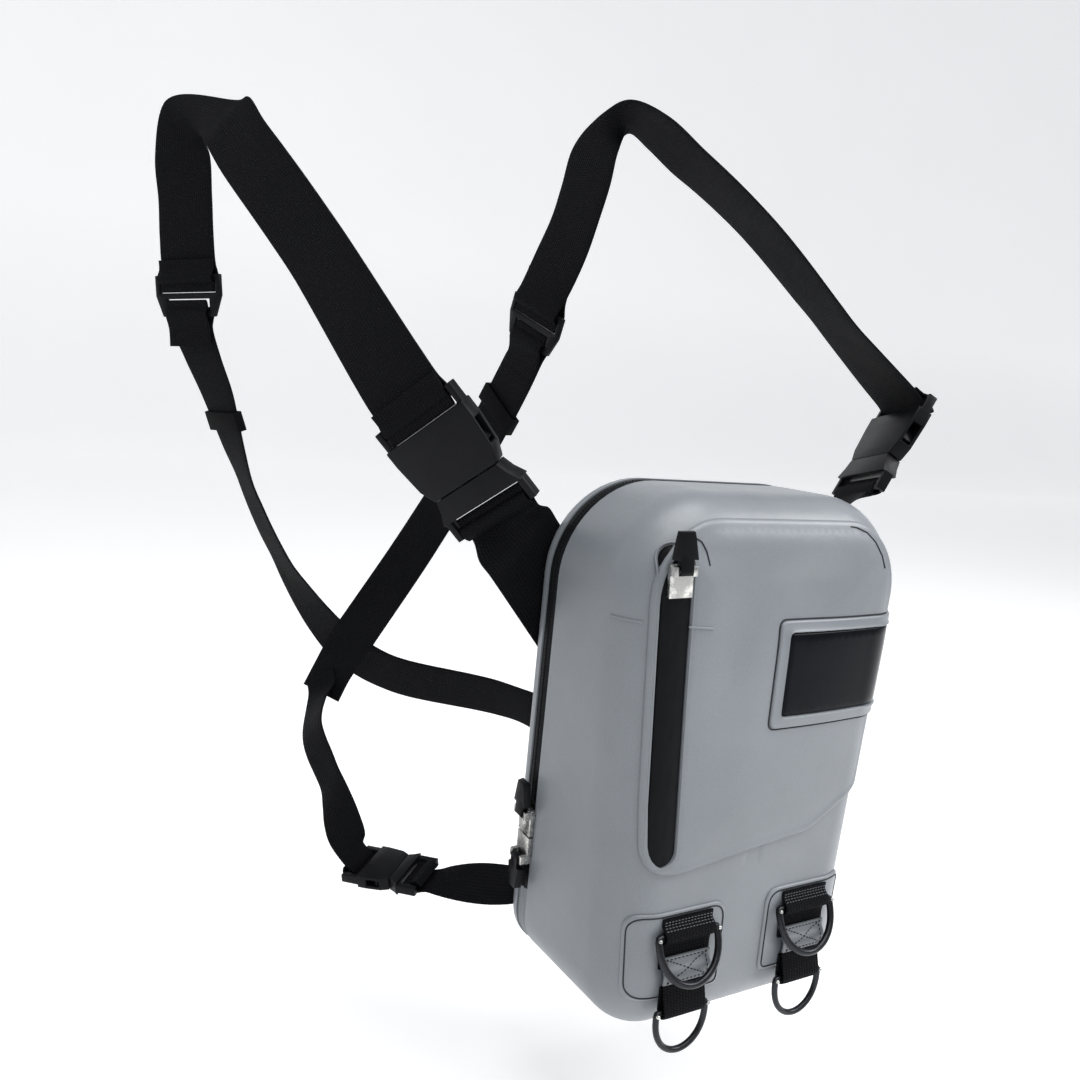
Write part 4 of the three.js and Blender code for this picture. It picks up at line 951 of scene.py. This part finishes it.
def curve(points, steps):
    gaps = [math.sqrt(max(np.linalg.norm(b - a), 1e-5)) for a, b in zip(points, points[1:])]
    knots = np.cumsum([0] + gaps)
    made = []
    for k in range(steps):
        t = mix(knots[1], knots[2], k / steps)
        level = points
        for span in (1, 2):
            shares = [(t - knots[i]) / (knots[i + span] - knots[i]) for i in range(len(level) - 1)]
            level = [mix(a, b, share) for a, b, share in zip(level, level[1:], shares)]
        made.append(mix(level[0], level[1], k / steps))
    return made


def smooth_rows(rows, pitch):
    full = [2 * rows[0] - rows[1]] + rows + [2 * rows[-1] - rows[-2]]
    full[0][6:] = rows[0][6:]
    full[-1][6:] = rows[-1][6:]
    fine = []
    for i in range(1, len(full) - 2):
        longest = max(np.linalg.norm(full[i + 1][part] - full[i][part]) for part in EDGES_AND_UP[:2])
        steps = max(int(longest / pitch), 2)
        pieces = [curve([row[part] for row in full[i - 1:i + 3]], steps) for part in EDGES_AND_UP]
        fine += [np.concatenate(row) for row in zip(*pieces)]
    fine.append(rows[-1].copy())
    for row in fine:
        across = row[3:6] - row[:3]
        across = across / np.linalg.norm(across)
        up = row[6:] - across * np.dot(row[6:], across)
        row[6:] = up / np.linalg.norm(up)
    return fine


print("smoothed:", len(smooth_rows(cad_rows("lower_strap")[0], 0.003)))

# %% [markdown]
# ## Skinning a strap
# Woven webbing is flat with soft, slightly thinner edges. A section with rounded ends is lofted
# through the smooth rows, and its walked length and width become the UV map that the weave follows.

# %% Skin a strap
THINNED = 0.94
ROUNDING = 0.55
SELVEDGE = 0.78
STRIPS = {}


def strap_section(columns):
    top = [(mix(-1, 1, k / columns), -1) for k in range(columns + 1)]
    edge = [(1, math.sin(a)) for a in (-0.7, 0.0, 0.7)]
    return top + edge + [(-s, 1) for s, _ in top] + [(-s, -u) for s, u in edge]


def section_point(share, level, width, half):
    full = width / 2 - half * ROUNDING
    if abs(share) < 1:
        return full * share, half * level
    if abs(level) == 1:
        return full * share, half * level * SELVEDGE
    bulge = half * ROUNDING * math.sqrt(max(1 - level * level, 0))
    return (full + bulge) * share, half * level


def strap(name, node, pitch=0.003, finish=WEBBING, slot="webbing", columns=8):
    rows, wall = cad_rows(node)
    fine = smooth_rows(rows, pitch)
    half = wall / 2 * THINNED
    middles = [(row[:3] + row[3:6]) / 2 for row in fine]
    rings = []
    uv = []
    walked = 0.0
    for k, row in enumerate(fine):
        across = row[3:6] - row[:3]
        width = np.linalg.norm(across)
        walked += np.linalg.norm(middles[k] - middles[k - 1]) if k else 0
        ring = []
        for share, level in strap_section(columns):
            reach, lift = section_point(share, level, width, half)
            ring.append(Vector(middles[k] + across / width * reach + row[6:] * lift))
            uv.append((walked, share * width / 2))
        rings.append(ring)
    uv += [uv[0], uv[-1]]
    points, faces = loft(rings)
    STRIPS[node] = (fine, half)
    return make_piece(name, points, faces, finish, slot, uv=uv, replaces=[node], sharp=55)


# %% [markdown]
# ## The harness
# Two wide shoulder straps turn into two narrower back straps that cross, and a lower strap hangs
# below them. Short anchors tie them to the back of the bag, and small loops hold the D-rings.

# %% Straps of the harness
for node in ("left_shoulder_strap", "right_shoulder_strap", "left_back_strap", "right_back_strap"):
    strap(node + "_webbing", node)
for node in ("lower_strap", "lower_anchor", "left_anchor", "right_anchor"):
    strap(node + "_webbing", node, 0.0022)
for _, label in SIDES:
    strap(f"{label}_upper_loop", f"{label}_upper_webbing", 0.0008, columns=10)
    strap(f"{label}_lower_loop", f"{label}_lower_webbing", 0.0008, columns=10)
    strap(f"{label}_grey_tab", f"{label}_tab", 0.001, FABRIC_DARK, "coated_fabric_dark", 10)
print("straps:", len(STRIPS))

# %% [markdown]
# ## D-rings
# A D-ring is round wire: a straight bar inside its webbing and a bow. A curve with a bevel would make
# it too, but a loft round the path closes cleanly. It rides on its own body, because it swings.

# %% D-rings
RING_FROM_MIDDLE = 43
WIRE_SIDES = 16


def ring_path(inside_width, drop, wire):
    half = (inside_width + wire) / 2
    angles = [math.pi * k / 40 for k in range(41)]
    bow = [(half * math.cos(a), -wire - (drop - wire) * math.sin(a) ** 0.9) for a in angles]
    bar = [(mix(-half + wire * 0.5, half - wire * 0.5, k / 8), 0.0) for k in range(9)]
    right = [(half - wire * 0.12, -wire * 0.12), (half, -wire * 0.5)]
    left = [(-x, z) for x, z in right[::-1]]
    return bar + right + bow + left


def d_ring(name, node, place, inside_width, drop, wire, tilt):
    path = ring_path(inside_width, drop, wire)
    turn = Matrix.Rotation(-math.radians(tilt), 4, "X")
    rings = []
    for k, (x, z) in enumerate(path):
        ax, az = path[k - 1]
        bx, bz = path[(k + 1) % len(path)]
        along = Vector((bx - ax, 0, bz - az)).normalized()
        outward = Vector((-along.z, 0, along.x))
        ring = []
        for s in range(WIRE_SIDES):
            a = 2 * math.pi * s / WIRE_SIDES
            offset = outward * math.cos(a) + Vector((0, 1, 0)) * math.sin(a)
            ring.append(metres(turn @ (Vector((x, 0, z)) + offset * (wire / 2)) + place))
        rings.append(ring)
    points, faces = loft(rings, loop=True)
    return make_piece(name, points, faces, GUNMETAL, "gunmetal", replaces=[node], body=node)


for side, label in SIDES:
    upper = Vector((side * RING_FROM_MIDDLE, -3.8, 65))
    lower = Vector((side * RING_FROM_MIDDLE, -5.55, 22))
    d_ring(f"{label}_upper_d_ring", f"{label}_upper_ring", upper, inside_width=36, drop=27, wire=4, tilt=21)
    d_ring(f"{label}_lower_d_ring", f"{label}_lower_ring", lower, inside_width=30, drop=24, wire=3.6, tilt=2)

# %% [markdown]
# ## Painted glints on the bars
# The blackened ring shows a bright highlight at both ends of its bar, where it bends into the bow. Two balls
# of bright metal are painted there as these highlights. Each is a tiny ball lofted from circles, with few
# faces because it is only 2 mm wide.

# %% Painted glints at the bar ends
GLINT_RADIUS = 0.0012


# A small bright metal ball that paints the highlight at one end of a ring's bar.
def glint_ball(name, centre, body):
    rings = []
    for k in range(1, 8):
        a = math.pi * k / 8
        circle = [math.pi * j / 6 for j in range(12)]
        around = [(math.cos(a), math.sin(a) * math.cos(t), math.sin(a) * math.sin(t)) for t in circle]
        rings.append([centre + Vector(p) * GLINT_RADIUS for p in around])
    points, faces = loft(rings)
    return make_piece(name, points, faces, SLIDER_METAL, "slider_metal", body=body)


for side, label in SIDES:
    for end, which in ((-1, "inner"), (1, "outer")):
        upper = metres((side * (RING_FROM_MIDDLE + end * 20.2), -6.1, 64.6))
        lower = metres((side * (RING_FROM_MIDDLE + end * 17.0), -7.6, 21.6))
        glint_ball(f"{label}_upper_{which}_head", upper, f"{label}_upper_ring")
        glint_ball(f"{label}_lower_{which}_head", lower, f"{label}_lower_ring")

# %% [markdown]
# ## Buckles, adjusters, keepers and sliders
# Their CAD shapes are right, but every moulded edge on the real ones is rounded, and a rounded edge
# is what makes plastic look like plastic. A copy of each CAD mesh is merged, its facets are joined
# into whole faces, and its sharp edges are bevelled.

# %% Bevelled copies of the hardware
def bevelled(name, node, finish, slot, width, body=BODY):
    bm = merged(node)
    bmesh.ops.dissolve_limit(bm, angle_limit=math.radians(2), verts=bm.verts, edges=bm.edges)
    paired = [e for e in bm.edges if len(e.link_faces) == 2]
    sharp = [e for e in paired if e.calc_face_angle(0) > math.radians(35)]
    bmesh.ops.bevel(
        bm, geom=sharp, offset=width, offset_type="OFFSET", segments=2, profile=0.5,
        affect="EDGES", clamp_overlap=True,
    )
    bmesh.ops.triangulate(bm, faces=bm.faces)
    mesh = bpy.data.meshes.new(name)
    bm.to_mesh(mesh)
    bm.free()
    print(name, len(mesh.polygons), "faces")
    return finished(name, mesh, finish, slot, replaces=[node], body=body, sharp=38)


SOCKET_BEVELS = {"left": 0.0009, "right": 0.0009, "lower": 0.0006}
for label, width in SOCKET_BEVELS.items():
    bevelled(f"{label}_buckle_socket", f"{label}_socket", NYLON, "nylon", width)
    bevelled(f"{label}_buckle_plug", f"{label}_plug", NYLON, "nylon", 0.0006)
for _, label in SIDES:
    bevelled(f"{label}_strap_adjuster", f"{label}_adjuster", NYLON, "nylon", 0.0007)
    bevelled(f"{label}_strap_keeper", f"{label}_keeper", WEBBING, "webbing", 0.0004)
for label in ("front", "upper_main", "lower_main"):
    bevelled(f"{label}_zip_slider", f"{label}_slider", SLIDER_METAL, "slider_metal", 0.0004)
    bevelled(f"{label}_zip_pull", f"{label}_pull", NYLON, "nylon", 0.0005, f"{label}_pull")

# %% [markdown]
# ## Webbing inside the slots
# A doubled strap fills most of the slot it passes through, so hardly any light shows there. From
# where each strap turns round its bar, a ray finds the far side of the slot, and a thick fold of
# webbing is laid in between. Asking the mesh is safer than measuring ten folds.

# %% Folds that fill the slots
FOLD_HALF = 0.0013
FOLD_SECTION = [(0, -1), (0.8, -1), (1, -0.5), (1, 0.5), (0.8, 1), (0, 1)]
END_REGION = 0.03
UNKNOWN_SLOT = 0.005


def slot_reach(hardware, start, run):
    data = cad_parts[hardware].data
    tree = BVHTree.FromPolygons([v.co for v in data.vertices], [p.vertices for p in data.polygons])
    return (tree.ray_cast(start + run * 0.001, run, 0.02)[3] or UNKNOWN_SLOT) + 0.001


def slot_fold(name, node, hardware, gap=0.0004):
    fine, half = STRIPS[node]
    target = sum((Vector(c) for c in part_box(hardware)), Vector()) / 2
    starts_near = (target - Vector(fine[0][:3])).length < (target - Vector(fine[-1][:3])).length
    rows = fine if starts_near else fine[::-1]
    spots = [Vector((row[:3] + row[3:6]) / 2) for row in rows[:len(rows) // 2]]
    near_end = [i for i, spot in enumerate(spots) if (spot - spots[0]).length < END_REGION]
    across = Vector(rows[0][3:6] - rows[0][:3])
    flat = across.normalized()
    run = target - spots[near_end[-1]]
    run = (run - flat * run.dot(flat)).normalized()
    up = flat.cross(run)
    turn = max(near_end, key=lambda i: spots[i].dot(run))
    start = spots[turn] + run * (half * 0.2)
    reach = slot_reach(hardware, start, run) - gap
    rings = []
    for share in (-1, -0.98, 0, 0.98, 1):
        thick = FOLD_HALF * (0.9 if abs(share) == 1 else 1.0)
        side = start + flat * (share * (across.length / 2 - 0.0008))
        rings.append([side + run * (reach * u) + up * (thick * v) for u, v in FOLD_SECTION])
    points, faces = loft(rings)
    uv = [(p.dot(run), p.dot(flat)) for p in points]
    print(name, "fills", round(reach * 1000, 1), "mm")
    return make_piece(name, points, faces, WEBBING, "webbing", uv=uv, sharp=50)


for _, label in SIDES:
    slot_fold(f"{label}_socket_fold", f"{label}_shoulder_strap", f"{label}_socket")
    slot_fold(f"{label}_plug_fold", f"{label}_anchor", f"{label}_plug", gap=0.0014)
    slot_fold(f"{label}_adjuster_upper_fold", f"{label}_shoulder_strap", f"{label}_adjuster")
    slot_fold(f"{label}_adjuster_lower_fold", f"{label}_back_strap", f"{label}_adjuster")
slot_fold("lower_plug_fold", "lower_strap", "lower_plug")
slot_fold("lower_socket_fold", "lower_anchor", "lower_socket")

# %% [markdown]
# ## Geometry Nodes for what repeats
# Stitches, zip teeth and weld lines all follow a path, which is what Geometry Nodes do well. A tree
# is built here from a few calls, with named inputs for its sizes. It always ends by making its
# instances real and giving them a material, because an export drops bare instances.

# %% A Geometry Nodes tree under construction
class Tree:
    def __init__(self, name, sizes):
        self.group = bpy.data.node_groups.new(name, "GeometryNodeTree")
        face = self.group.interface
        face.new_socket("Path", in_out="INPUT", socket_type="NodeSocketGeometry")
        for label, value in sizes.items():
            socket = face.new_socket(label, in_out="INPUT", socket_type="NodeSocketFloat")
            socket.default_value = value
        face.new_socket("Finish", in_out="INPUT", socket_type="NodeSocketMaterial")
        face.new_socket("Geometry", in_out="OUTPUT", socket_type="NodeSocketGeometry")
        self.given = self.group.nodes.new("NodeGroupInput").outputs

    def add(self, kind, inputs, **settings):
        node = self.group.nodes.new(kind)
        for key, value in settings.items():
            setattr(node, key, value)
        for key, value in inputs.items():
            if isinstance(value, bpy.types.NodeSocket):
                self.group.links.new(value, node.inputs[key])
            else:
                node.inputs[key].default_value = value
        return node.outputs[0] if node.outputs else None

    def close(self, geometry):
        real = self.add("GeometryNodeRealizeInstances", {0: geometry})
        smooth = self.add("GeometryNodeSetShadeSmooth", {0: real})
        painted = self.add("GeometryNodeSetMaterial", {0: smooth, "Material": self.given["Finish"]})
        self.add("NodeGroupOutput", {0: painted})
        return self.group


# %% [markdown]
# ## Two trees
# The first puts a small ball at even steps along a path, stretched into a stitch or a tooth. It lies
# along the path and stands up in the direction that the path's `outward` attribute names. The second
# sweeps a round wire along a path, which makes the weld lines and the dark wires that paint crease shade.

# %% Repeat along a path, and wire along a path
def repeat_tree():
    sizes = {"Pitch": 0.003, "Length": 0.002, "Width": 0.0006, "Height": 0.0006}
    tree = Tree("repeat_along_path", sizes)
    given = tree.given
    path = tree.add("GeometryNodeMeshToCurve", {0: given["Path"]})
    steps = tree.add("GeometryNodeResampleCurve", {"Curve": path, "Length": given["Pitch"]}, mode="LENGTH")
    ball = tree.add("GeometryNodeMeshUVSphere", {"Segments": 8, "Rings": 5, "Radius": 0.5})
    outward = tree.add("GeometryNodeInputNamedAttribute", {"Name": "outward"}, data_type="FLOAT_VECTOR")
    tangent = tree.add("GeometryNodeInputTangent", {})
    lying = tree.add("FunctionNodeAlignRotationToVector", {"Vector": tangent}, axis="X")
    turned = {"Rotation": lying, "Vector": outward}
    standing = tree.add("FunctionNodeAlignRotationToVector", turned, axis="Z", pivot_axis="X")
    size = tree.add("ShaderNodeCombineXYZ", {0: given["Length"], 1: given["Width"], 2: given["Height"]})
    placed = {"Points": steps, "Instance": ball, "Rotation": standing, "Scale": size}
    return tree.close(tree.add("GeometryNodeInstanceOnPoints", placed))


def wire_tree():
    tree = Tree("wire_along_path", {"Radius": 0.0004})
    path = tree.add("GeometryNodeMeshToCurve", {0: tree.given["Path"]})
    circle = tree.add("GeometryNodeCurvePrimitiveCircle", {"Resolution": 8, "Radius": tree.given["Radius"]})
    swept = {"Curve": path, "Profile Curve": circle, "Fill Caps": True}
    return tree.close(tree.add("GeometryNodeCurveToMesh", swept))


REPEAT = repeat_tree()
WIRE = wire_tree()
print("trees:", REPEAT.name, WIRE.name)

# %% [markdown]
# ## Running a tree
# The paths go in as a mesh of bare edges with an `outward` attribute. The modifier's inputs are set
# by their identifiers before anything is evaluated. The evaluated result is kept as a plain mesh, so
# no live modifier reaches the export.

# %% Run a tree along some paths
def path_mesh(name, paths):
    points = []
    edges = []
    outward = []
    for path, closed in paths:
        start = len(points)
        count = len(path)
        points += [tuple(p) for p, _ in path]
        outward += [tuple(n) for _, n in path]
        edges += [(start + i, start + (i + 1) % count) for i in range(count if closed else count - 1)]
    mesh = bpy.data.meshes.new(name)
    mesh.from_pydata(points, edges, [])
    layer = mesh.attributes.new("outward", "FLOAT_VECTOR", "POINT")
    layer.data.foreach_set("vector", np.array(outward, np.float32).ravel())
    return mesh


def along_paths(name, tree, paths, finish, slot, **sizes):
    source = bpy.data.objects.new(name + "_path", path_mesh(name + "_path", paths))
    bpy.context.scene.collection.objects.link(source)
    modifier = source.modifiers.new("nodes", "NODES")
    modifier.node_group = tree
    wanted = {"Finish": finish, **{label.title(): value for label, value in sizes.items()}}
    for item in tree.interface.items_tree:
        if item.in_out == "INPUT" and item.name in wanted:
            modifier[item.identifier] = wanted[item.name]
    bpy.context.view_layer.update()
    evaluated = source.evaluated_get(bpy.context.evaluated_depsgraph_get())
    mesh = bpy.data.meshes.new_from_object(evaluated)
    bpy.data.objects.remove(source)
    mesh.name = name
    piece = bpy.data.objects.new(name, mesh)
    bpy.context.scene.collection.objects.link(piece)
    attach(piece, BODY)
    print(name, len(mesh.polygons), "faces")
    return piece


# %% [markdown]
# ## Places on a strap
# A stitch belongs to its strap, so its place is given as a share of the strap's length and width.
# The rows kept from the strap's making then give the exact point on either face.

# %% Stitch paths on the straps
STITCH_LIFT = 0.00012
LINE_STEPS = 24
FRONT = Vector((0, -1, 0))
REAR = Vector((0, 1, 0))


def on_strip(node, share, across, lift, face=1):
    fine, half = STRIPS[node]
    spot = min(max(share, 0), 1) * (len(fine) - 1)
    k = min(int(spot), len(fine) - 2)
    row = mix(fine[k], fine[k + 1], spot - k)
    up = row[6:] / np.linalg.norm(row[6:]) * face
    point = (row[:3] + row[3:6]) / 2 + (row[3:6] - row[:3]) / 2 * across + up * (half + lift)
    return Vector(point), Vector(up)


def strip_line(node, start, end, face=1):
    line = []
    for k in range(LINE_STEPS + 1):
        t = k / LINE_STEPS
        line.append(on_strip(node, mix(start[0], end[0], t), mix(start[1], end[1], t), STITCH_LIFT, face))
    return line, False


def box_and_cross(node, low, high, edge, face):
    a, b, c, d = (low, -edge), (low, edge), (high, edge), (high, -edge)
    ends = ((a, b), (b, c), (c, d), (d, a), (a, c), (b, d))
    return [strip_line(node, start, end, face) for start, end in ends]


def outer_face(node, share, away):
    _, up = on_strip(node, share, 0, 0)
    return 1 if up.dot(away) > 0 else -1


print("ready to stitch:", len(STRIPS), "straps")

# %% [markdown]
# ## Stitches by the D-rings
# Each grey tab is sewn on with a box and a cross in black thread. Each upper loop has four rows of
# paler thread across it. Both are only lists of paths here, so one tree can sew them all later.

# %% Stitches on the tabs and loops
black_paths = []
pale_paths = []
for _, label in SIDES:
    tab = f"{label}_tab"
    black_paths += box_and_cross(tab, 0.08, 0.92, 0.82, outer_face(tab, 0.5, FRONT))
    loop_node = f"{label}_upper_webbing"
    fine, _ = STRIPS[loop_node]
    top_end = 0.0 if fine[0][2] > fine[-1][2] else 1.0
    face = outer_face(loop_node, top_end, FRONT)
    for share in (0.05, 0.1, 0.15, 0.2):
        at_row = abs(top_end - share)
        pale_paths.append(strip_line(loop_node, (at_row, -0.9), (at_row, 0.9), face))
print("stitch lines:", len(black_paths), "black", len(pale_paths), "pale")

# %% [markdown]
# ## Stitches where the harness is sewn
# Every strap that ends on the bag is sewn down with the same box and cross. The end that lies
# nearest to the bag's back is the sewn one, so the script finds it instead of being told.

# %% Stitches of the anchors
SEWN = ("left_anchor", "right_anchor", "lower_anchor", "left_back_strap")
SEAM_FROM_END = 0.004
SEAM_REACH = 0.022


def strip_length(node):
    fine, _ = STRIPS[node]
    middles = [(row[:3] + row[3:6]) / 2 for row in fine]
    return sum(np.linalg.norm(a - b) for a, b in zip(middles, middles[1:]))


def from_back(node, share):
    point, _ = on_strip(node, share, 0, 0)
    return abs(point.y - metres((0, depth(100), 0)).y)


for node in SEWN:
    sewn_end = 0.0 if from_back(node, 0.0) < from_back(node, 1.0) else 1.0
    length = strip_length(node)
    low, high = sorted(abs(sewn_end - reach / length) for reach in (SEAM_FROM_END, SEAM_REACH))
    black_paths += box_and_cross(node, low, high, 0.8, outer_face(node, sewn_end, REAR))
along_paths(
    "black_stitches", REPEAT, black_paths, THREAD, "webbing",
    pitch=0.0024, length=0.0019, width=0.0006, height=0.0005,
)
along_paths(
    "pale_stitches", REPEAT, pale_paths, PALE_THREAD, "webbing",
    pitch=0.0021, length=0.0017, width=0.00055, height=0.00045,
)

# %% [markdown]
# ## Weld lines and painted crease shade
# A thin bright lip runs round the zip's slot. Dark wires along the window, the patches, the pocket's foot,
# round the zip's top and at the pocket's top-right corner are painted shade in the creases there. A texture
# could carry them, but a swept wire keeps its own highlight and shadow.

# %% Weld lines and painted crease shade
# Knots of the dark wires that paint crease shade at the pocket's foot, round the zip's top and at the
# pocket's top-right corner; the last table gives two pressed ridges with their lifts.
POCKET_FOOT_SHADE = [(-60, 106), (-26, 109.4), (30, 109.6), (36.5, 110.6), (56.5, 126.5), (66, 130.4)]
PULL_ARC_SHADE = [(-72.8, 277), (-66.5, 278.5), (-62, 276), (-59.3, 271.5), (-57.6, 265)]
TOP_RIGHT_SHADE = [(44, 284.5), (49, 284), (57, 281.5), (64, 276.5), (70, 269), (73.5, 262)]
PRESSED = [([(-97, 234.8), (-88, 234.4)], 0.2), ([(-66, 233.6), (-51.5, 232.7)], 2.0)]


def skin_path(loop, point, lift, pitch=1.5):
    path = []
    for x, z in resampled(loop, pitch):
        spot = point(x, z, lift)
        path.append((spot, (point(x, z, lift + 1) - spot).normalized()))
    return path, True


def open_line(knots, lift, pitch=1.2):
    path = []
    for (ax, az), (bx, bz) in zip(knots, knots[1:]):
        steps = max(int(math.hypot(bx - ax, bz - az) / pitch), 1)
        path += [(mix(ax, bx, k / steps), mix(az, bz, k / steps)) for k in range(steps)]
    path.append(knots[-1])
    return [(on_front(x, z, lift), FRONT) for x, z in path], False


slot_lip = [skin_path(zip_outline(0.9), on_front, 2.05)]
pressed = [open_line(knots, lift) for knots, lift in PRESSED]
foot = [open_line(POCKET_FOOT_SHADE, 0.4)]
# Dark wires painted as crease shade along the window, round the zip's top, at the pocket's corner and round
# the patches.
crease_shade_lines = [skin_path(window_outline(-0.5, 5), on_wrap, 2.05)]
crease_shade_lines += [open_line(PULL_ARC_SHADE, 2.05), open_line(TOP_RIGHT_SHADE, 2.1)]
crease_shade_lines += [skin_path(patch_outline(side, 1.9), on_front, 1.5) for side, _ in SIDES]
along_paths("zip_slot_lip", WIRE, slot_lip, FABRIC, "coated_fabric", radius=0.0005)
along_paths("pressed_ridges", WIRE, pressed, FABRIC, "coated_fabric", radius=0.0007)
along_paths("pocket_foot_shade_wire", WIRE, foot, CREASE_SHADE_LINE, "coated_fabric_dark", radius=0.0003)
along_paths("crease_shade_wires", WIRE, crease_shade_lines, CREASE_SHADE_LINE, "coated_fabric_dark", radius=0.00042)

# %% [markdown]
# ## Teeth of the main zip
# Seen close, the main zip has two rows of small soft teeth beside its groove. The same tree that
# makes stitches makes them, wider and closer together.

# %% Teeth of the main zip
TOOTH_ROW = 0.14


def zip_teeth(row):
    path = []
    for x, z, ox, oz in zip_path():
        y = depth(z) - ZIP_FROM_BACK - ZIP_BAND * (0.5 + row * TOOTH_ROW)
        path.append((metres((x - ox * 0.05, y, z - oz * 0.05)), Vector((ox, 0, oz))))
    return path, False


along_paths(
    "main_zip_teeth", REPEAT, [zip_teeth(-1), zip_teeth(1)], RUBBER, "zip_rubber",
    pitch=0.0021, length=0.0013, width=0.002, height=0.0011,
)

# %% [markdown]
# ## Camera
# The camera stands where the photograph was taken from. Its place, its three turns and its lens were
# solved from the photograph for a bag of this size, so a render can be laid over it.

# %% Camera
PHOTO_WIDTH = 1080
FOCAL_PIXELS = 1001.1
SENSOR = 36
YAW = math.radians(-31.18)
PITCH = math.radians(-8.26)
TILT = math.radians(-5.38)
CAMERA_PLACE = (-0.2369, -0.6147, -0.1691)

look = Matrix.Rotation(YAW, 3, "Z") @ Matrix.Rotation(PITCH, 3, "X") @ Matrix.Rotation(TILT, 3, "Y")
axes = Matrix((look.col[0], look.col[2], -look.col[1])).transposed()
camera_data = bpy.data.cameras.new("camera")
camera_data.sensor_width = SENSOR
camera_data.lens = FOCAL_PIXELS / PHOTO_WIDTH * SENSOR
camera_data.clip_start = 0.01
camera_data.clip_end = 50
camera = bpy.data.objects.new("camera", camera_data)
camera.matrix_world = Matrix.Translation(CAMERA_PLACE) @ axes.to_4x4()
bpy.context.scene.collection.objects.link(camera)
bpy.context.scene.camera = camera
print("lens:", round(camera_data.lens, 2), "mm")

# %% [markdown]
# ## Floor
# A product photograph stands on a pale sheet that curves up behind the object, so no horizon shows.
# A little glow in the sheet keeps it pale without washing out the bag.

# %% Floor and backdrop
FLOOR_Z = -0.60
FLOOR_FRONT = -4.0
FLOOR_BACK = 4.0
FLOOR_HALF = 16.0
BEND = 1.2
BACKDROP_TOP = 5.0


def backdrop():
    turns = [k / 16 * math.pi / 2 for k in range(17)]
    bend = [(FLOOR_BACK + BEND * math.sin(a), FLOOR_Z + BEND * (1 - math.cos(a))) for a in turns]
    line = [(FLOOR_FRONT, FLOOR_Z)] + bend + [(FLOOR_BACK + BEND, BACKDROP_TOP)]
    points = [(x, y, z) for y, z in line for x in (-FLOOR_HALF, FLOOR_HALF)]
    faces = [(2 * k, 2 * k + 1, 2 * k + 3, 2 * k + 2) for k in range(len(line) - 1)]
    mesh = bpy.data.meshes.new("floor")
    mesh.from_pydata(points, [], faces)
    mesh.polygons.foreach_set("use_smooth", [True] * len(mesh.polygons))
    paint = Finish("pale_floor", roughness=0.9, emission_color=(1, 1, 1, 1), emission_strength=0.3)
    cloud = paint.noise(scale=1.5, detail=2)
    paint.feed(base_color=paint.colours(cloud, (0.86, 0.86, 0.86), (0.9, 0.9, 0.9)))
    mesh.materials.append(paint.material)
    floor = bpy.data.objects.new("floor", mesh)
    bpy.context.scene.collection.objects.link(floor)


backdrop()
print("floor at", FLOOR_Z, "m")

# %% [markdown]
# ## Light
# Large soft lights stand to the right and above, as the brighter front and darker left side of the
# bag ask for. A weak one at the left and a pale world fill the shadows. No lamp shows to the camera.

# %% Lights and world
AIM = Vector((0.12, -0.15, -0.3))
WORLD_COLOUR = (0.93, 0.95, 1.0, 1)
WORLD_STRENGTH = 0.5


def soft_light(name, place, size, power):
    data = bpy.data.lights.new(name, "AREA")
    data.shape = "SQUARE"
    data.size = size
    data.energy = power
    lamp = bpy.data.objects.new(name, data)
    lamp.location = place
    lamp.rotation_mode = "QUATERNION"
    lamp.rotation_quaternion = (AIM - Vector(place)).to_track_quat("-Z", "Y")
    lamp.visible_camera = False
    bpy.context.scene.collection.objects.link(lamp)


soft_light("key", (1.9, -1.2, 1.1), size=1.2, power=34)
soft_light("fill", (-0.9, -1.5, 1.1), size=0.6, power=6)
soft_light("overhead", (0.15, -0.55, 0.95), size=1.1, power=17)
world = bpy.data.worlds.new("studio")
world.use_nodes = True
world.node_tree.nodes["Background"].inputs[0].default_value = WORLD_COLOUR
world.node_tree.nodes["Background"].inputs[1].default_value = WORLD_STRENGTH
bpy.context.scene.world = world
bpy.context.scene.view_settings.view_transform = "Standard"
print("lights:", len(bpy.data.lights))
